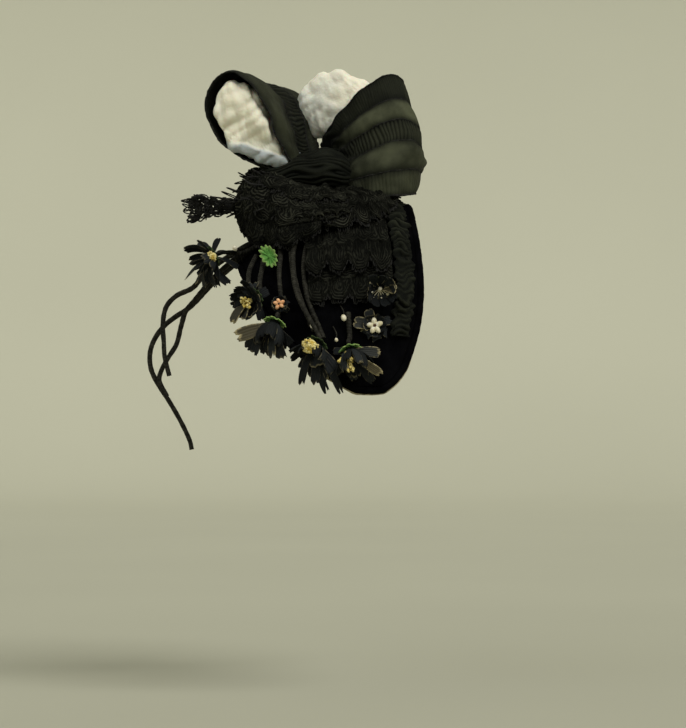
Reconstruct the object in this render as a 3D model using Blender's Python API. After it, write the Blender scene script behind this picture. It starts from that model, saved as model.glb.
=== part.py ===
"""A small evening bonnet of the 1880s: a velvet saddle cap with lace, a ribbon bow and cloth flowers.

Metres, +Z up. The wearer faces -Y and the wearer's left is +X. The origin is the point of the cap's
inner side that sits on the crown of the head, with the head bowed as it is worn.
"""

import math

import bmesh
import bpy
from mathutils import Matrix, Vector

# The head that the cap is shaped to: an egg whose long axis is pitched forward
HEAD_LENGTH = 0.205
HEAD_HEIGHT = 0.164
HEAD_BREADTH = 0.152
HEAD_PITCH = math.radians(35)
SEAT_AHEAD = 0.0096

# Walls and the small gaps between pieces
GAP = 0.0004
CAP_WALL = 0.0024
LACE_WALL = 0.0010
RIBBON_WALL = 0.0010

# Cap: half its spread over the head, and its reach before and behind the seat
LOBE_ANGLE = math.radians(89)
CAP_FRONT = 0.0455
CAP_BACK = 0.0395
RIM_RADIUS = 0.0016
RUCHE_WIDTH = 0.0085
RUCHE_HEIGHT = 0.0016
RUCHE_PLEATS = 36

# Lace: the mound under the bow, two tiers on each side and the stiff frill over the forehead
MOUND_FRONT = 0.0425
MOUND_SIDE = 0.046
MOUND_BACK = 0.0265
MOUND_RISE = 0.0265
MOUND_FLUTES = 13
TIER_STAND = 0.0016
TIER_FLUTE = 0.0012
FRILL_REACH = 0.021
FRILL_SPREAD = 0.019
FRILL_WAVE = 0.0055
FRILL_HEIGHT = 0.007

# Ribbon bow
RIBBON_WIDTH = 0.070
LOOP_LENGTH = 0.066
KNOT_BEHIND = -0.005
KNOT_HALF_LENGTH = 0.0065
KNOT_HALF_WIDTH = 0.013
KNOT_TOP = 0.031

# Flowers and covered stems
PETAL_LENGTH = 0.0135
PETAL_WIDTH = 0.0043
PETAL_WALL = 0.0008
HUB_RADIUS = 0.0026
CALYX_RADIUS = 0.0056
STEM_RADIUS = 0.00115
STEM_REACH = 0.093
STEM_DROP = 0.116


# The head's form

def head_radius(angle, back):
    """How far the skin is from the head's middle line, in the direction angle, this far behind the seat."""
    ahead = back - SEAT_AHEAD
    up, across = math.cos(angle), math.sin(angle)
    pitch_up, pitch_along = math.sin(HEAD_PITCH), math.cos(HEAD_PITCH)
    long_axis, short_axis, half_breadth = HEAD_LENGTH / 2, HEAD_HEIGHT / 2, HEAD_BREADTH / 2
    a = (up * pitch_up / long_axis) ** 2 + (up * pitch_along / short_axis) ** 2 + (across / half_breadth) ** 2
    b = 2 * ahead * up * pitch_along * pitch_up * (1 / long_axis**2 - 1 / short_axis**2)
    c = (ahead * pitch_along / long_axis) ** 2 + (ahead * pitch_up / short_axis) ** 2 - 1
    return (-b + math.sqrt(max(b * b - 4 * a * c, 0.0))) / (2 * a)


HEAD_MIDDLE_Z = -head_radius(0.0, 0.0)


def head_point(angle, back, lift=0.0):
    """A point lift above the skin: angle from the crown towards the wearer's left, and back behind the seat."""
    def skin(angle, back):
        radius = head_radius(angle, back)
        return Vector((radius * math.sin(angle), back, HEAD_MIDDLE_Z + radius * math.cos(angle)))

    step = 0.0005
    here = skin(angle, back)
    across = skin(angle + 0.01, back) - skin(angle - 0.01, back)
    along = skin(angle, back + step) - skin(angle, back - step)
    return here + across.cross(along).normalized() * lift


def head_top(side, back, rise):
    """A point straight above the skin, by its place seen from above."""
    pitch_up, pitch_along = math.sin(HEAD_PITCH), math.cos(HEAD_PITCH)
    long_axis, short_axis, half_breadth = HEAD_LENGTH / 2, HEAD_HEIGHT / 2, HEAD_BREADTH / 2
    ahead = back - SEAT_AHEAD
    a = (pitch_up / long_axis) ** 2 + (pitch_along / short_axis) ** 2
    b = 2 * ahead * pitch_along * pitch_up * (1 / long_axis**2 - 1 / short_axis**2)
    c = (ahead * pitch_along / long_axis) ** 2 + (ahead * pitch_up / short_axis) ** 2
    c += (side / half_breadth) ** 2 - 1
    height = (-b + math.sqrt(max(b * b - 4 * a * c, 0.0))) / (2 * a)
    return Vector((side, back, HEAD_MIDDLE_Z + height + rise))


# Smooth values and lines through a few chosen ones

def smooth_value(keys, values, at):
    """The value at `at` of a smooth line through (keys, values)."""
    last = len(keys) - 1
    at = min(max(at, keys[0]), keys[-1])
    i = max(k for k in range(last) if keys[k] <= at)

    def slope(k):
        low, high = max(k - 1, 0), min(k + 1, last)
        return (values[high] - values[low]) / (keys[high] - keys[low])

    span = keys[i + 1] - keys[i]
    t = (at - keys[i]) / span
    return (
        (2 * t**3 - 3 * t**2 + 1) * values[i]
        + (t**3 - 2 * t**2 + t) * span * slope(i)
        + (3 * t**2 - 2 * t**3) * values[i + 1]
        + (t**3 - t**2) * span * slope(i + 1)
    )


def column(table, name):
    return [row[name] for row in table]


def table_value(table, key, name, at):
    return smooth_value(column(table, key), column(table, name), at)


def rows_of(names, *rows):
    """A table: each row as a dictionary of the named columns."""
    return [dict(zip(names.split(), row)) for row in rows]


def smooth_line(points, count):
    """count points, evenly numbered, on a smooth line through the given ones."""
    keys = [0.0]
    for before, after in zip(points, points[1:]):
        keys.append(keys[-1] + (after - before).length)
    line = []
    for i in range(count):
        at = keys[-1] * i / (count - 1)
        line.append(Vector([smooth_value(keys, [p[axis] for p in points], at) for axis in range(3)]))
    return line


# Materials and objects

def cloth(name, colour, roughness):
    material = bpy.data.materials.new(name)
    material.use_nodes = True
    shader = material.node_tree.nodes["Principled BSDF"]
    shader.inputs["Base Color"].default_value = (*colour, 1.0)
    shader.inputs["Roughness"].default_value = roughness
    shader.inputs["Metallic"].default_value = 0.0
    material.diffuse_color = (*colour, 1.0)
    return material


def add_object(name, data, material):
    piece = bpy.data.objects.new(name, data)
    data.materials.append(material)
    bpy.context.scene.collection.objects.link(piece)
    return piece


def object_from(name, bm, material):
    if bm.calc_volume(signed=True) < 0:
        bmesh.ops.reverse_faces(bm, faces=bm.faces)
    mesh = bpy.data.meshes.new(name)
    bm.to_mesh(mesh)
    bm.free()
    mesh.shade_smooth()
    return add_object(name, mesh, material)


def thicken(piece, wall):
    """Gives a cloth surface its wall, on the side that its faces point to."""
    solidify = piece.modifiers.new("wall", "SOLIDIFY")
    solidify.thickness = wall
    solidify.offset = 1.0


def sheet(name, columns, rows, place, wall, material, closed=False):
    """A cloth wall: a grid whose corners go where place(u, v) says, u and v from 0 to 1."""
    bm = bmesh.new()
    bmesh.ops.create_grid(bm, x_segments=columns, y_segments=rows, size=1.0)
    for corner in bm.verts:
        corner.co = place((corner.co.x + 1) / 2, (corner.co.y + 1) / 2)
    if closed:
        bmesh.ops.remove_doubles(bm, verts=bm.verts, dist=1e-6)
    piece = object_from(name, bm, material)
    thicken(piece, wall)
    return piece


def tube(name, line, radii, material, sides=8, cyclic=False):
    """A round cord or stem along a line of points."""
    curve = bpy.data.curves.new(name, "CURVE")
    curve.dimensions = "3D"
    spline = curve.splines.new("POLY")
    spline.points.add(len(line) - 1)
    for point, place, radius in zip(spline.points, line, radii):
        point.co = (*place, 1.0)
        point.radius = radius
    spline.use_cyclic_u = cyclic
    curve.bevel_depth = 1.0
    curve.bevel_resolution = sides // 2 - 2
    curve.use_fill_caps = not cyclic
    return add_object(name, curve, material)


# Cap

CAP_OUTLINE = rows_of(
    "angle front back",
    (0.00, 1.00, 0.865),
    (0.27, 0.95, 0.93),
    (0.48, 0.84, 0.99),
    (0.62, 0.73, 1.00),
    (0.74, 0.58, 0.96),
    (0.83, 0.38, 0.89),
    (0.92, 0.12, 0.79),
    (0.97, -0.09, 0.68),
    (1.00, -0.24, 0.56),
)
CAP_TOP = CAP_WALL + GAP


def cap_front(angle):
    return -CAP_FRONT * table_value(CAP_OUTLINE, "angle", "front", abs(angle) / LOBE_ANGLE)


def cap_back(angle):
    return CAP_BACK * table_value(CAP_OUTLINE, "angle", "back", abs(angle) / LOBE_ANGLE)


def cap_share(share):
    """Places the cap's sections closer together at the lobes, where the outline turns."""
    across = 2 * share - 1
    return LOBE_ANGLE * math.copysign(1 - (1 - abs(across)) ** 1.35, across)


def velvet_base(velvet):
    def place(u, v):
        angle = cap_share(u)
        front, back = cap_front(angle), cap_back(angle)
        return head_point(angle, front + (back - front) * v)

    return sheet("velvet_base", 24, 7, place, CAP_WALL, velvet)


def rim_line(count):
    """Points round the cap's outline, a rim's radius and a gap outside it."""
    edge = []
    half = count // 2 - 4
    for i in range(half + 1):
        edge.append((cap_share(i / half), "front"))
    for i in range(half + 1):
        edge.append((cap_share(1 - i / half), "back"))
    flat = []
    for angle, side in edge:
        flat.append((angle, cap_front(angle) if side == "front" else cap_back(angle)))
    middle = [head_point(angle, back, CAP_WALL / 2) for angle, back in flat]
    line = []
    for i, here in enumerate(middle):
        along = (middle[(i + 1) % len(middle)] - middle[i - 1]).normalized()
        angle, back = flat[i]
        up = (head_point(angle, back, CAP_WALL) - head_point(angle, back)).normalized()
        line.append(here + along.cross(up) * (RIM_RADIUS + 2 * GAP))
    return smooth_line([*line, line[0]], count + 1)[:-1]


def rim_roll(velvet):
    line = rim_line(64)
    return tube("rim_roll", line, [RIM_RADIUS] * len(line), velvet, sides=6, cyclic=True)


def back_ruche(velvet):
    """Gathered velvet band along the back edge, standing up in small pleats."""
    reach = LOBE_ANGLE * 0.80
    edge = 2 * GAP + 0.0012

    def place(u, v):
        angle = reach * (2 * u - 1)
        pleat = 0.5 - 0.5 * math.cos(2 * math.pi * RUCHE_PLEATS * u)
        crown = math.sin(math.pi * v) ** 0.5 if 0 < v < 1 else 0.0
        lift = CAP_TOP + GAP + RUCHE_HEIGHT * pleat * crown
        return head_point(angle, cap_back(angle) - edge - RUCHE_WIDTH * (1 - v), lift)

    return sheet("back_ruche", 2 * RUCHE_PLEATS, 2, place, LACE_WALL, velvet)


# Lace

LACE_FLOOR = CAP_TOP
MOUND = rows_of(
    "out reach front side back",
    (0.00, 0.30, 0.42, 0.30, 0.0),
    (0.30, 0.58, 0.92, 0.36, 0.0),
    (0.55, 0.83, 1.15, 0.36, 0.0),
    (0.78, 0.97, 0.92, 0.30, 0.0),
    (1.00, 1.00, 0.50, 0.20, 0.0),
)


def mound_point(turn, out):
    """A point of the lace mound: turn is 0 at the back and half a turn at the front."""
    front = max(-math.cos(turn), 0.0) ** 1.5
    behind = max(math.cos(turn), 0.0) ** 1.2
    beside = 1 - front - behind
    reach = MOUND_FRONT if math.cos(turn) < 0 else MOUND_BACK
    flute = math.sin(MOUND_FLUTES * turn) * out
    spread = table_value(MOUND, "out", "reach", out) * (1 + 0.035 * flute * (1 - behind))
    rise = MOUND_RISE * (
        front * table_value(MOUND, "out", "front", out) + beside * table_value(MOUND, "out", "side", out)
    )
    clear_of_tiers = (1 - behind) * (2 * STEM_RADIUS + TIER_STAND + 2 * TIER_FLUTE) * (1 + 0.4 * out)
    rise += LACE_FLOOR + clear_of_tiers + TIER_FLUTE * (0.4 + flute * (0.4 + 0.6 * (1 - behind)))
    side = MOUND_SIDE * spread * math.sin(turn)
    back = KNOT_BEHIND + reach * spread * math.cos(turn)
    return head_top(side, back, rise)


def lace_mound(lace):
    def place(u, v):
        return mound_point(2 * math.pi * u, 1 - v)

    return sheet("lace_mound", 42, 4, place, LACE_WALL, lace, closed=True)


TIERS = rows_of(
    "name top bottom stand",
    ("lace_upper", 18, 49, 2.6),
    ("lace_lower", 43, 59, 0.9),
)
TIER_SCALLOP = 0.10
TIER_FRONT = 0.26
TIER_BACK_INSET = RUCHE_WIDTH + 0.0032


def lace_tier(row, side, label, lace):
    """One scalloped tier, lying on the cap at its top and standing off at its free edge."""
    top, bottom = math.radians(row["top"]), math.radians(row["bottom"])
    flutes, scallops = 7, 4

    def place(u, v):
        across = u if side > 0 else 1 - u
        fall = 1 - v
        scallop = 1 - TIER_SCALLOP * (1 - abs(math.sin(math.pi * scallops * across)))
        angle = top + (bottom - top) * fall * scallop
        front, back = -CAP_FRONT * TIER_FRONT, cap_back(angle) - TIER_BACK_INSET
        wave = 0.5 - 0.5 * math.cos(2 * math.pi * flutes * across)
        lift = LACE_FLOOR + fall * (row["stand"] * TIER_STAND + wave * TIER_FLUTE)
        return head_point(side * angle, front + (back - front) * across, lift)

    return sheet(f"{row['name']}_{label}", 22, 3, place, LACE_WALL, lace)


def lace_front_frill(lace):
    """Stiff wavy fan of lace that stands out over the forehead, from the mound's front."""
    root = KNOT_BEHIND - MOUND_FRONT * 1.035 - LACE_WALL - 2 * GAP
    root_height = mound_point(math.pi, 1.0).z + FRILL_HEIGHT

    def place(u, v):
        across = 2 * u - 1
        wave = math.sin(2.5 * math.pi * across) * (0.25 + 0.75 * v)
        ragged = 1 - 0.16 * abs(math.sin(6.5 * math.pi * u)) * v
        reach = FRILL_REACH * v * ragged * (1 - 0.25 * across**2)
        side = FRILL_SPREAD * across * (0.55 + 0.45 * v)
        bow_in = 0.004 * across**2
        return Vector((side, root + bow_in * (1 - v) - reach, root_height + FRILL_WAVE * wave - 0.12 * reach))

    return sheet("lace_front_frill", 22, 3, place, LACE_WALL, lace)


# Bow: each loop is a row of egg-shaped rings across the ribbon's width. A ring runs out from the knot along
# a bent spine and back, and its lengths are shares of the ribbon's width and the loop's length.

RING_NAMES = (
    "across root_side root_back root_up bend_back bend_up tip_side tip_back tip_up half_side half_back half_up neck"
)
FRONT_LOOP = rows_of(
    RING_NAMES,
    (0.00, 0.10, 0.00, 0.00, -0.48, 0.00, 0.44, -0.60, 0.70, 0.00, 0.275, 0.05, 0.10),
    (0.33, 0.04, 0.00, 0.00, -0.39, 0.05, 0.16, -0.48, 0.69, 0.00, 0.27, 0.03, 0.22),
    (0.66, -0.03, 0.00, 0.01, -0.30, 0.11, -0.14, -0.32, 0.66, 0.00, 0.255, 0.01, 0.40),
    (1.00, -0.10, 0.00, 0.02, -0.20, 0.17, -0.44, -0.156, 0.63, 0.00, 0.235, 0.00, 0.60),
)
BACK_LOOP = rows_of(
    RING_NAMES,
    (0.00, 0.114, 0.02, -0.190, 0.28, -0.195, 0.114, 0.548, -0.175, 0.30, 0.00, -0.03, 0.35),
    (0.25, 0.07, 0.00, -0.085, 0.30, -0.05, 0.06, 0.60, 0.02, 0.333, -0.03, 0.04, 0.35),
    (0.50, 0.00, 0.00, 0.02, 0.30, 0.07, -0.01, 0.61, 0.12, 0.333, 0.03, 0.18, 0.40),
    (0.72, -0.08, -0.03, 0.14, 0.26, 0.22, -0.08, 0.571, 0.28, 0.318, 0.02, 0.235, 0.45),
    (1.00, -0.17, -0.145, 0.225, 0.145, 0.43, -0.17, 0.465, 0.568, 0.273, 0.053, 0.28, 0.50),
)
KNOT_MIDDLE = 0.0235


def ring_point(table, root, across, along, beside):
    """A point of a loop: across the ribbon, along the ring's spine and beside it, beside being -1 to 1."""
    def at(name):
        low, high = table[0]["across"], table[-1]["across"]
        if across < low or across > high:
            edge, step = (low, -0.05) if across < low else (high, 0.05)
            inner = table_value(table, "across", name, edge - step)
            outer = table_value(table, "across", name, edge)
            return outer + (outer - inner) * (across - edge) / step
        return table_value(table, "across", name, across)

    start = Vector((at("root_side") * RIBBON_WIDTH, at("root_back") * LOOP_LENGTH, at("root_up") * LOOP_LENGTH))
    tip = Vector((at("tip_side") * RIBBON_WIDTH, at("tip_back") * LOOP_LENGTH, at("tip_up") * LOOP_LENGTH))
    bend = Vector(((start.x + 2 * tip.x) / 3, at("bend_back") * LOOP_LENGTH, at("bend_up") * LOOP_LENGTH))
    half = Vector((at("half_side"), at("half_back"), at("half_up"))) * LOOP_LENGTH
    spine = start * (1 - along) ** 2 + bend * (2 * along * (1 - along)) + tip * along**2
    neck = at("neck")
    fullness = neck + (1 - neck) * min(1.15 * along, 1.0)
    return root + spine + half * (beside * fullness)


def loop_surface(table, root, across, turn):
    """A point on the ribbon: turn goes once round the ring, from the knot out and back."""
    return ring_point(table, root, across, (1 - math.cos(turn)) / 2, math.sin(turn))


def ribbon_loop(name, table, root, ribbon, flip):
    def place(u, v):
        turn = 2 * math.pi * (1 - u if flip else u)
        return loop_surface(table, root, v, turn)

    return sheet(name, 28, 6, place, RIBBON_WALL, ribbon, closed=True)


FRONT_ROOT = Vector((0.0, KNOT_BEHIND - KNOT_HALF_LENGTH - RIBBON_WALL - 3 * GAP, KNOT_MIDDLE))
BACK_ROOT = Vector((0.0, KNOT_BEHIND + KNOT_HALF_LENGTH + RIBBON_WALL + GAP, KNOT_MIDDLE))


TISSUE = rows_of(
    "loop low high middle near_fill far_fill spill_from spill_side spill_back spill_up",
    ("front", 0.02, 0.93, 0.55, 0.95, 0.76, 0.93, 0.0, 0.0, 0.0),
    ("back", 0.08, 1.20, 0.54, 0.84, 0.84, 0.82, -0.05, -0.20, 0.08),
)
TISSUE_CRUMPLE = 0.05
TISSUE_BLUNTNESS = 0.45


def loop_tissue(row, table, root, paper):
    """Crumpled paper that fills a loop, shows at its open end and may spill over the ribbon's edge."""
    spill = Vector((row["spill_side"], row["spill_back"], row["spill_up"])) * LOOP_LENGTH
    bm = bmesh.new()
    bmesh.ops.create_icosphere(bm, subdivisions=3, radius=1.0)
    for corner in bm.verts:
        x, y, z = corner.co
        flat = math.copysign(abs(x) ** 0.7, x)
        crumple = 1 + TISSUE_CRUMPLE * math.sin(7 * y + 4 * z) * math.cos(6 * z - 5 * x)
        crumple *= max(math.hypot(y, z), 1e-6) ** -TISSUE_BLUNTNESS
        across = (row["low"] + row["high"]) / 2 + (row["high"] - row["low"]) / 2 * flat
        past = max(across - row["spill_from"], 0.0) / (row["high"] - row["spill_from"] + GAP)
        fill = row["near_fill"] + (row["far_fill"] - row["near_fill"]) * across
        along = row["middle"] + fill * 0.5 * y * crumple
        corner.co = ring_point(table, root, across, along, fill * z * crumple) + spill * past
    return object_from(f"bow_tissue_{row['loop']}", bm, paper)


KNOT = rows_of(
    "height wide long",
    (0.00, 0.42, 0.80),
    (0.22, 0.45, 0.72),
    (0.45, 0.86, 0.86),
    (0.70, 1.00, 1.00),
    (0.90, 0.80, 0.82),
    (1.00, 0.30, 0.35),
)


def bow_knot(ribbon):
    """Soft pleated knot, drawn down to a narrow foot that is stitched to the cap."""
    foot = head_point(0.0, KNOT_BEHIND, CAP_TOP + GAP).z
    pleats, sides, steps = 5, 20, 7
    bm = bmesh.new()
    bmesh.ops.create_cone(bm, cap_ends=True, segments=sides, radius1=1.0, radius2=1.0, depth=1.0)
    face = max(bm.faces, key=lambda f: f.calc_center_median().z)

    def shape(corners, height):
        wide = KNOT_HALF_WIDTH * table_value(KNOT, "height", "wide", height)
        long = KNOT_HALF_LENGTH * table_value(KNOT, "height", "long", height)
        for i, corner in enumerate(corners):
            turn = 2 * math.pi * i / sides
            pleat = 1 - 0.07 * (0.5 + 0.5 * math.cos(pleats * turn)) * math.sin(math.pi * height)
            corner.co = Vector((
                wide * pleat * math.cos(turn),
                KNOT_BEHIND + long * pleat * math.sin(turn),
                foot + (KNOT_TOP - foot) * height,
            ))

    shape([corner for corner in bm.verts if corner.co.z < 0], 0.0)
    shape([loop.vert for loop in face.loops], 1 / steps)
    for step in range(2, steps + 1):
        face = bmesh.ops.extrude_discrete_faces(bm, faces=[face])["faces"][0]
        shape([loop.vert for loop in face.loops], step / steps)
    bmesh.ops.recalc_face_normals(bm, faces=bm.faces)
    return object_from("bow_knot", bm, ribbon)


# Flowers: a hub whose side faces are drawn out into straps

def strap(bm, face, stations, hub_middle):
    """Draws a hub's side face out through stations: how far out, how high, how wide and how thick."""
    outward = face.calc_center_median()
    outward.z = 0
    outward.normalize()
    sideways = Vector((-outward.y, outward.x, 0))
    before = Vector((HUB_RADIUS, hub_middle))
    for out, high, wide, thick in stations:
        along = Vector((out, high)) - before
        before = Vector((out, high))
        along.normalize()
        face = bmesh.ops.extrude_discrete_faces(bm, faces=[face])["faces"][0]
        middle = face.calc_center_median()
        for corner in face.verts:
            offset = corner.co - middle
            edge = math.copysign(wide / 2, offset.dot(sideways))
            skin = math.copysign(thick / 2, offset.z)
            corner.co = (
                outward * (out - along.y * skin)
                + sideways * edge
                + Vector((0, 0, high + along.x * skin))
            )


def whorl(name, sides, hub_radius, hub, stations, material):
    """A hub from height hub[0] to hub[1] with a strap on each of its sides."""
    bm = bmesh.new()
    bmesh.ops.create_cone(
        bm, cap_ends=True, segments=sides, radius1=hub_radius, radius2=hub_radius, depth=hub[1] - hub[0]
    )
    bmesh.ops.translate(bm, verts=bm.verts, vec=(0, 0, (hub[0] + hub[1]) / 2))
    walls = [f for f in bm.faces if len(f.verts) == 4 and abs(f.normal.z) < 0.5]
    walls.sort(key=lambda f: math.atan2(f.calc_center_median().y, f.calc_center_median().x))
    for number, wall in enumerate(walls):
        strap(bm, wall, stations(number), (hub[0] + hub[1]) / 2)
    bmesh.ops.recalc_face_normals(bm, faces=bm.faces)
    return object_from(name, bm, material)


def face_towards(piece, at, facing, roll=0.0):
    """Stands a flower at a point so that its open side looks along facing."""
    turn = Vector(facing).to_track_quat("Z", "Y").to_matrix().to_4x4()
    piece.matrix_world = Matrix.Translation(at) @ turn @ Matrix.Rotation(roll, 4, "Z")
    return piece


HUB_DEPTH = 0.0016
PETAL_SECTIONS = rows_of("share width", (0.35, 0.62), (0.84, 1.0), (1.0, 0.66))
CALYX_WALL = 0.0009
CALYX_BACK = -GAP - CALYX_WALL
CALYX_TEETH = 9
CALYX_TOOTH = 0.0009
PEGS = 6
PEG_WIDTH = 0.0011
PEG_LENGTH = 0.0019
TUFT_HEIGHT = 0.0022


def petals(name, row, black):
    length = PETAL_LENGTH * row["length"]
    cup = math.radians(row["cup"])

    def stations(number):
        uneven = 1 + 0.10 * math.sin(2.4 * number + row["roll"])
        made = []
        for section in PETAL_SECTIONS:
            reach = length * section["share"] * uneven
            bend = cup * (0.45 + 0.55 * section["share"])
            out = HUB_RADIUS + reach * math.cos(bend)
            high = HUB_DEPTH / 2 + reach * math.sin(bend)
            made.append((out, high, PETAL_WIDTH * section["width"] * row["width"], PETAL_WALL))
        return made

    return whorl(name, row["petals"], HUB_RADIUS, (0.0, HUB_DEPTH), stations, black)


def calyx(name, row, green):
    """Small toothed disc behind the petals."""
    def stations(number):
        return [(CALYX_RADIUS, CALYX_BACK + CALYX_WALL / 2, CALYX_TOOTH, CALYX_WALL)]

    return whorl(name, CALYX_TEETH, CALYX_RADIUS * 0.66, (CALYX_BACK, CALYX_BACK + CALYX_WALL), stations, green)


def stamens(name, row, yellow):
    """Tuft of short pegs on the flower's face."""
    floor = HUB_DEPTH + GAP
    radius = HUB_RADIUS * 0.5

    def stations(number):
        reach = PEG_LENGTH * (1 + 0.26 * math.sin(3.1 * number))
        return [(radius + reach, floor + 0.64 * TUFT_HEIGHT + reach, PEG_WIDTH, 0.9 * PEG_WIDTH)]

    return whorl(name, PEGS, radius, (floor, floor + TUFT_HEIGHT), stations, yellow)


FLOWERS = rows_of(
    "name parts angle back lift left behind up roll petals length width cup",
    ("front", "petals stamens calyx", 13, -1.11, 0.867, 0.30, -0.80, -0.50, 0.3, 10, 1.05, 1.0, 28),
    ("brow", "petals stamens calyx", 55.5, -0.73, 0.68, 0.72, -0.62, -0.28, 0.9, 10, 0.85, 0.9, 40),
    ("temple", "petals calyx", 66.5, -0.537, 0.68, 0.35, -0.30, -0.90, 0.2, 10, 1.10, 1.0, 60),
    ("cheek", "petals stamens calyx", 75.5, -0.14, 0.72, 0.60, -0.35, -0.72, 0.6, 10, 1.00, 0.9, 56),
    ("ear", "petals stamens calyx", 77, 0.20, 0.61, 0.42, 0.20, -0.90, 1.1, 10, 1.00, 0.85, 60),
    ("lobe", "petals stamens", 68, 0.48, 0.03, 0.97, 0.04, 0.20, 0.4, 9, 0.36, 0.9, 24),
    ("tier", "petals stamens calyx", 56.5, 0.54, 0.60, 0.92, 0.15, -0.20, 0.1, 9, 0.75, 0.9, 48),
    ("centre", "petals stamens", 58.0, -0.52, 0.32, 0.92, -0.20, 0.10, 0.5, 9, 0.20, 0.8, 30),
    ("crown", "calyx", 34, -0.615, 0.64, 0.85, -0.45, 0.10, 0.0, 9, 1.0, 1.0, 0),
)


def flower_back(row):
    return row["back"] * (CAP_FRONT if row["back"] < 0 else CAP_BACK)


def flower_place(row):
    return head_point(math.radians(row["angle"]), flower_back(row), CAP_TOP + row["lift"] * PETAL_LENGTH)


def flower(row, finishes):
    at = flower_place(row)
    facing = Vector((row["left"], row["behind"], row["up"])).normalized()
    makers = {"petals": petals, "stamens": stamens, "calyx": calyx}
    for part in row["parts"].split():
        piece = makers[part](f"{part}_{row['name']}", row, finishes[part])
        face_towards(piece, at, facing, row["roll"])
    back = CALYX_BACK if "calyx" in row["parts"] else 0.0
    return at + facing * (back - GAP), facing


# Stems

STEM_ROOTS = rows_of(
    "name root_angle root_back bulge late",
    ("front", 7, -0.62, 0.4, 1.0),
    ("brow", 22, -0.72, 0.5, 1.0),
    ("temple", 61, -0.66, 0.0, 1.0),
    ("cheek", 19, -0.44, 0.6, 2.6),
    ("ear", 63, 0.15, 0.1, 1.0),
    ("centre", 20, -0.55, 0.5, 1.0),
    ("crown", 26, -0.62, 0.0, 1.0),
)
STEM_END_RUN = 0.0025
STEM_SWELL = 0.006


def flower_stem(row, goal, end, facing, dark):
    """Covered wire over the cap, from under the lace to the back of a flower. A late one runs down first."""
    seat = CAP_TOP + STEM_RADIUS - 0.5 * GAP
    from_angle, to_angle = math.radians(row["root_angle"]), math.radians(goal["angle"])
    from_back, to_back = row["root_back"] * CAP_FRONT, flower_back(goal)
    points = [head_point(from_angle, from_back, seat)]
    for share, rise in ((0.30, 0.1), (0.66, 1.0)):
        angle = from_angle + (to_angle - from_angle) * share
        back = from_back + (to_back - from_back) * share ** row["late"]
        points.append(head_point(angle, back, seat + STEM_SWELL * row["bulge"] * rise + 0.3 * STEM_RADIUS))
    points += [end - facing * STEM_END_RUN, end]
    count = 11
    line = smooth_line(points, count)
    radii = [STEM_RADIUS * (1 - 0.25 * i / (count - 1)) for i in range(count)]
    return tube(f"stem_{row['name']}", line, radii, dark, sides=6)


# Long stems: shares of STEM_REACH ahead of the seat and of STEM_DROP below it
LONG_STEMS = {
    "long_stem_a": rows_of(
        "side ahead drop",
        (-0.01, 0.33, 0.10), (-0.01, 0.468, 0.116), (-0.02, 0.59, 0.175), (-0.02, 0.70, 0.24),
        (-0.02, 0.765, 0.30), (-0.02, 0.855, 0.336), (-0.03, 0.909, 0.384), (-0.03, 0.927, 0.457),
        (-0.03, 0.922, 0.534), (-0.03, 0.917, 0.599), (-0.03, 0.892, 0.681),
    ),
    "long_stem_b": rows_of(
        "side ahead drop",
        (-0.05, 0.33, 0.10), (-0.05, 0.46, 0.13), (-0.06, 0.57, 0.195), (-0.06, 0.67, 0.27),
        (-0.07, 0.763, 0.36), (-0.07, 0.804, 0.40), (-0.07, 0.83, 0.465), (-0.07, 0.855, 0.543),
        (-0.07, 0.898, 0.60), (-0.07, 0.932, 0.649), (-0.07, 0.948, 0.70), (-0.07, 0.905, 0.77),
    ),
    "long_stem_c": rows_of(
        "side ahead drop",
        (-0.09, 0.33, 0.10), (-0.09, 0.45, 0.14), (-0.10, 0.56, 0.21), (-0.10, 0.66, 0.28),
        (-0.11, 0.78, 0.38), (-0.11, 0.866, 0.427), (-0.11, 0.927, 0.467), (-0.11, 0.978, 0.526),
        (-0.11, 1.00, 0.582), (-0.11, 0.995, 0.649), (-0.11, 0.957, 0.716), (-0.11, 0.898, 0.789),
        (-0.10, 0.833, 0.879), (-0.10, 0.785, 0.961), (-0.10, 0.774, 1.00),
    ),
}


def long_stem(name, table, dark):
    seat = CAP_TOP + STEM_RADIUS
    first = table[0]
    points = [head_top(first["side"] * STEM_REACH, -first["ahead"] * STEM_REACH, seat * 1.2)]
    points += [
        Vector((row["side"] * STEM_REACH, -row["ahead"] * STEM_REACH, -row["drop"] * STEM_DROP)) for row in table[1:]
    ]
    count = 20
    radii = [STEM_RADIUS * (1.05 - 0.2 * i / (count - 1)) for i in range(count)]
    return tube(name, smooth_line(points, count), radii, dark, sides=6)


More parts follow.
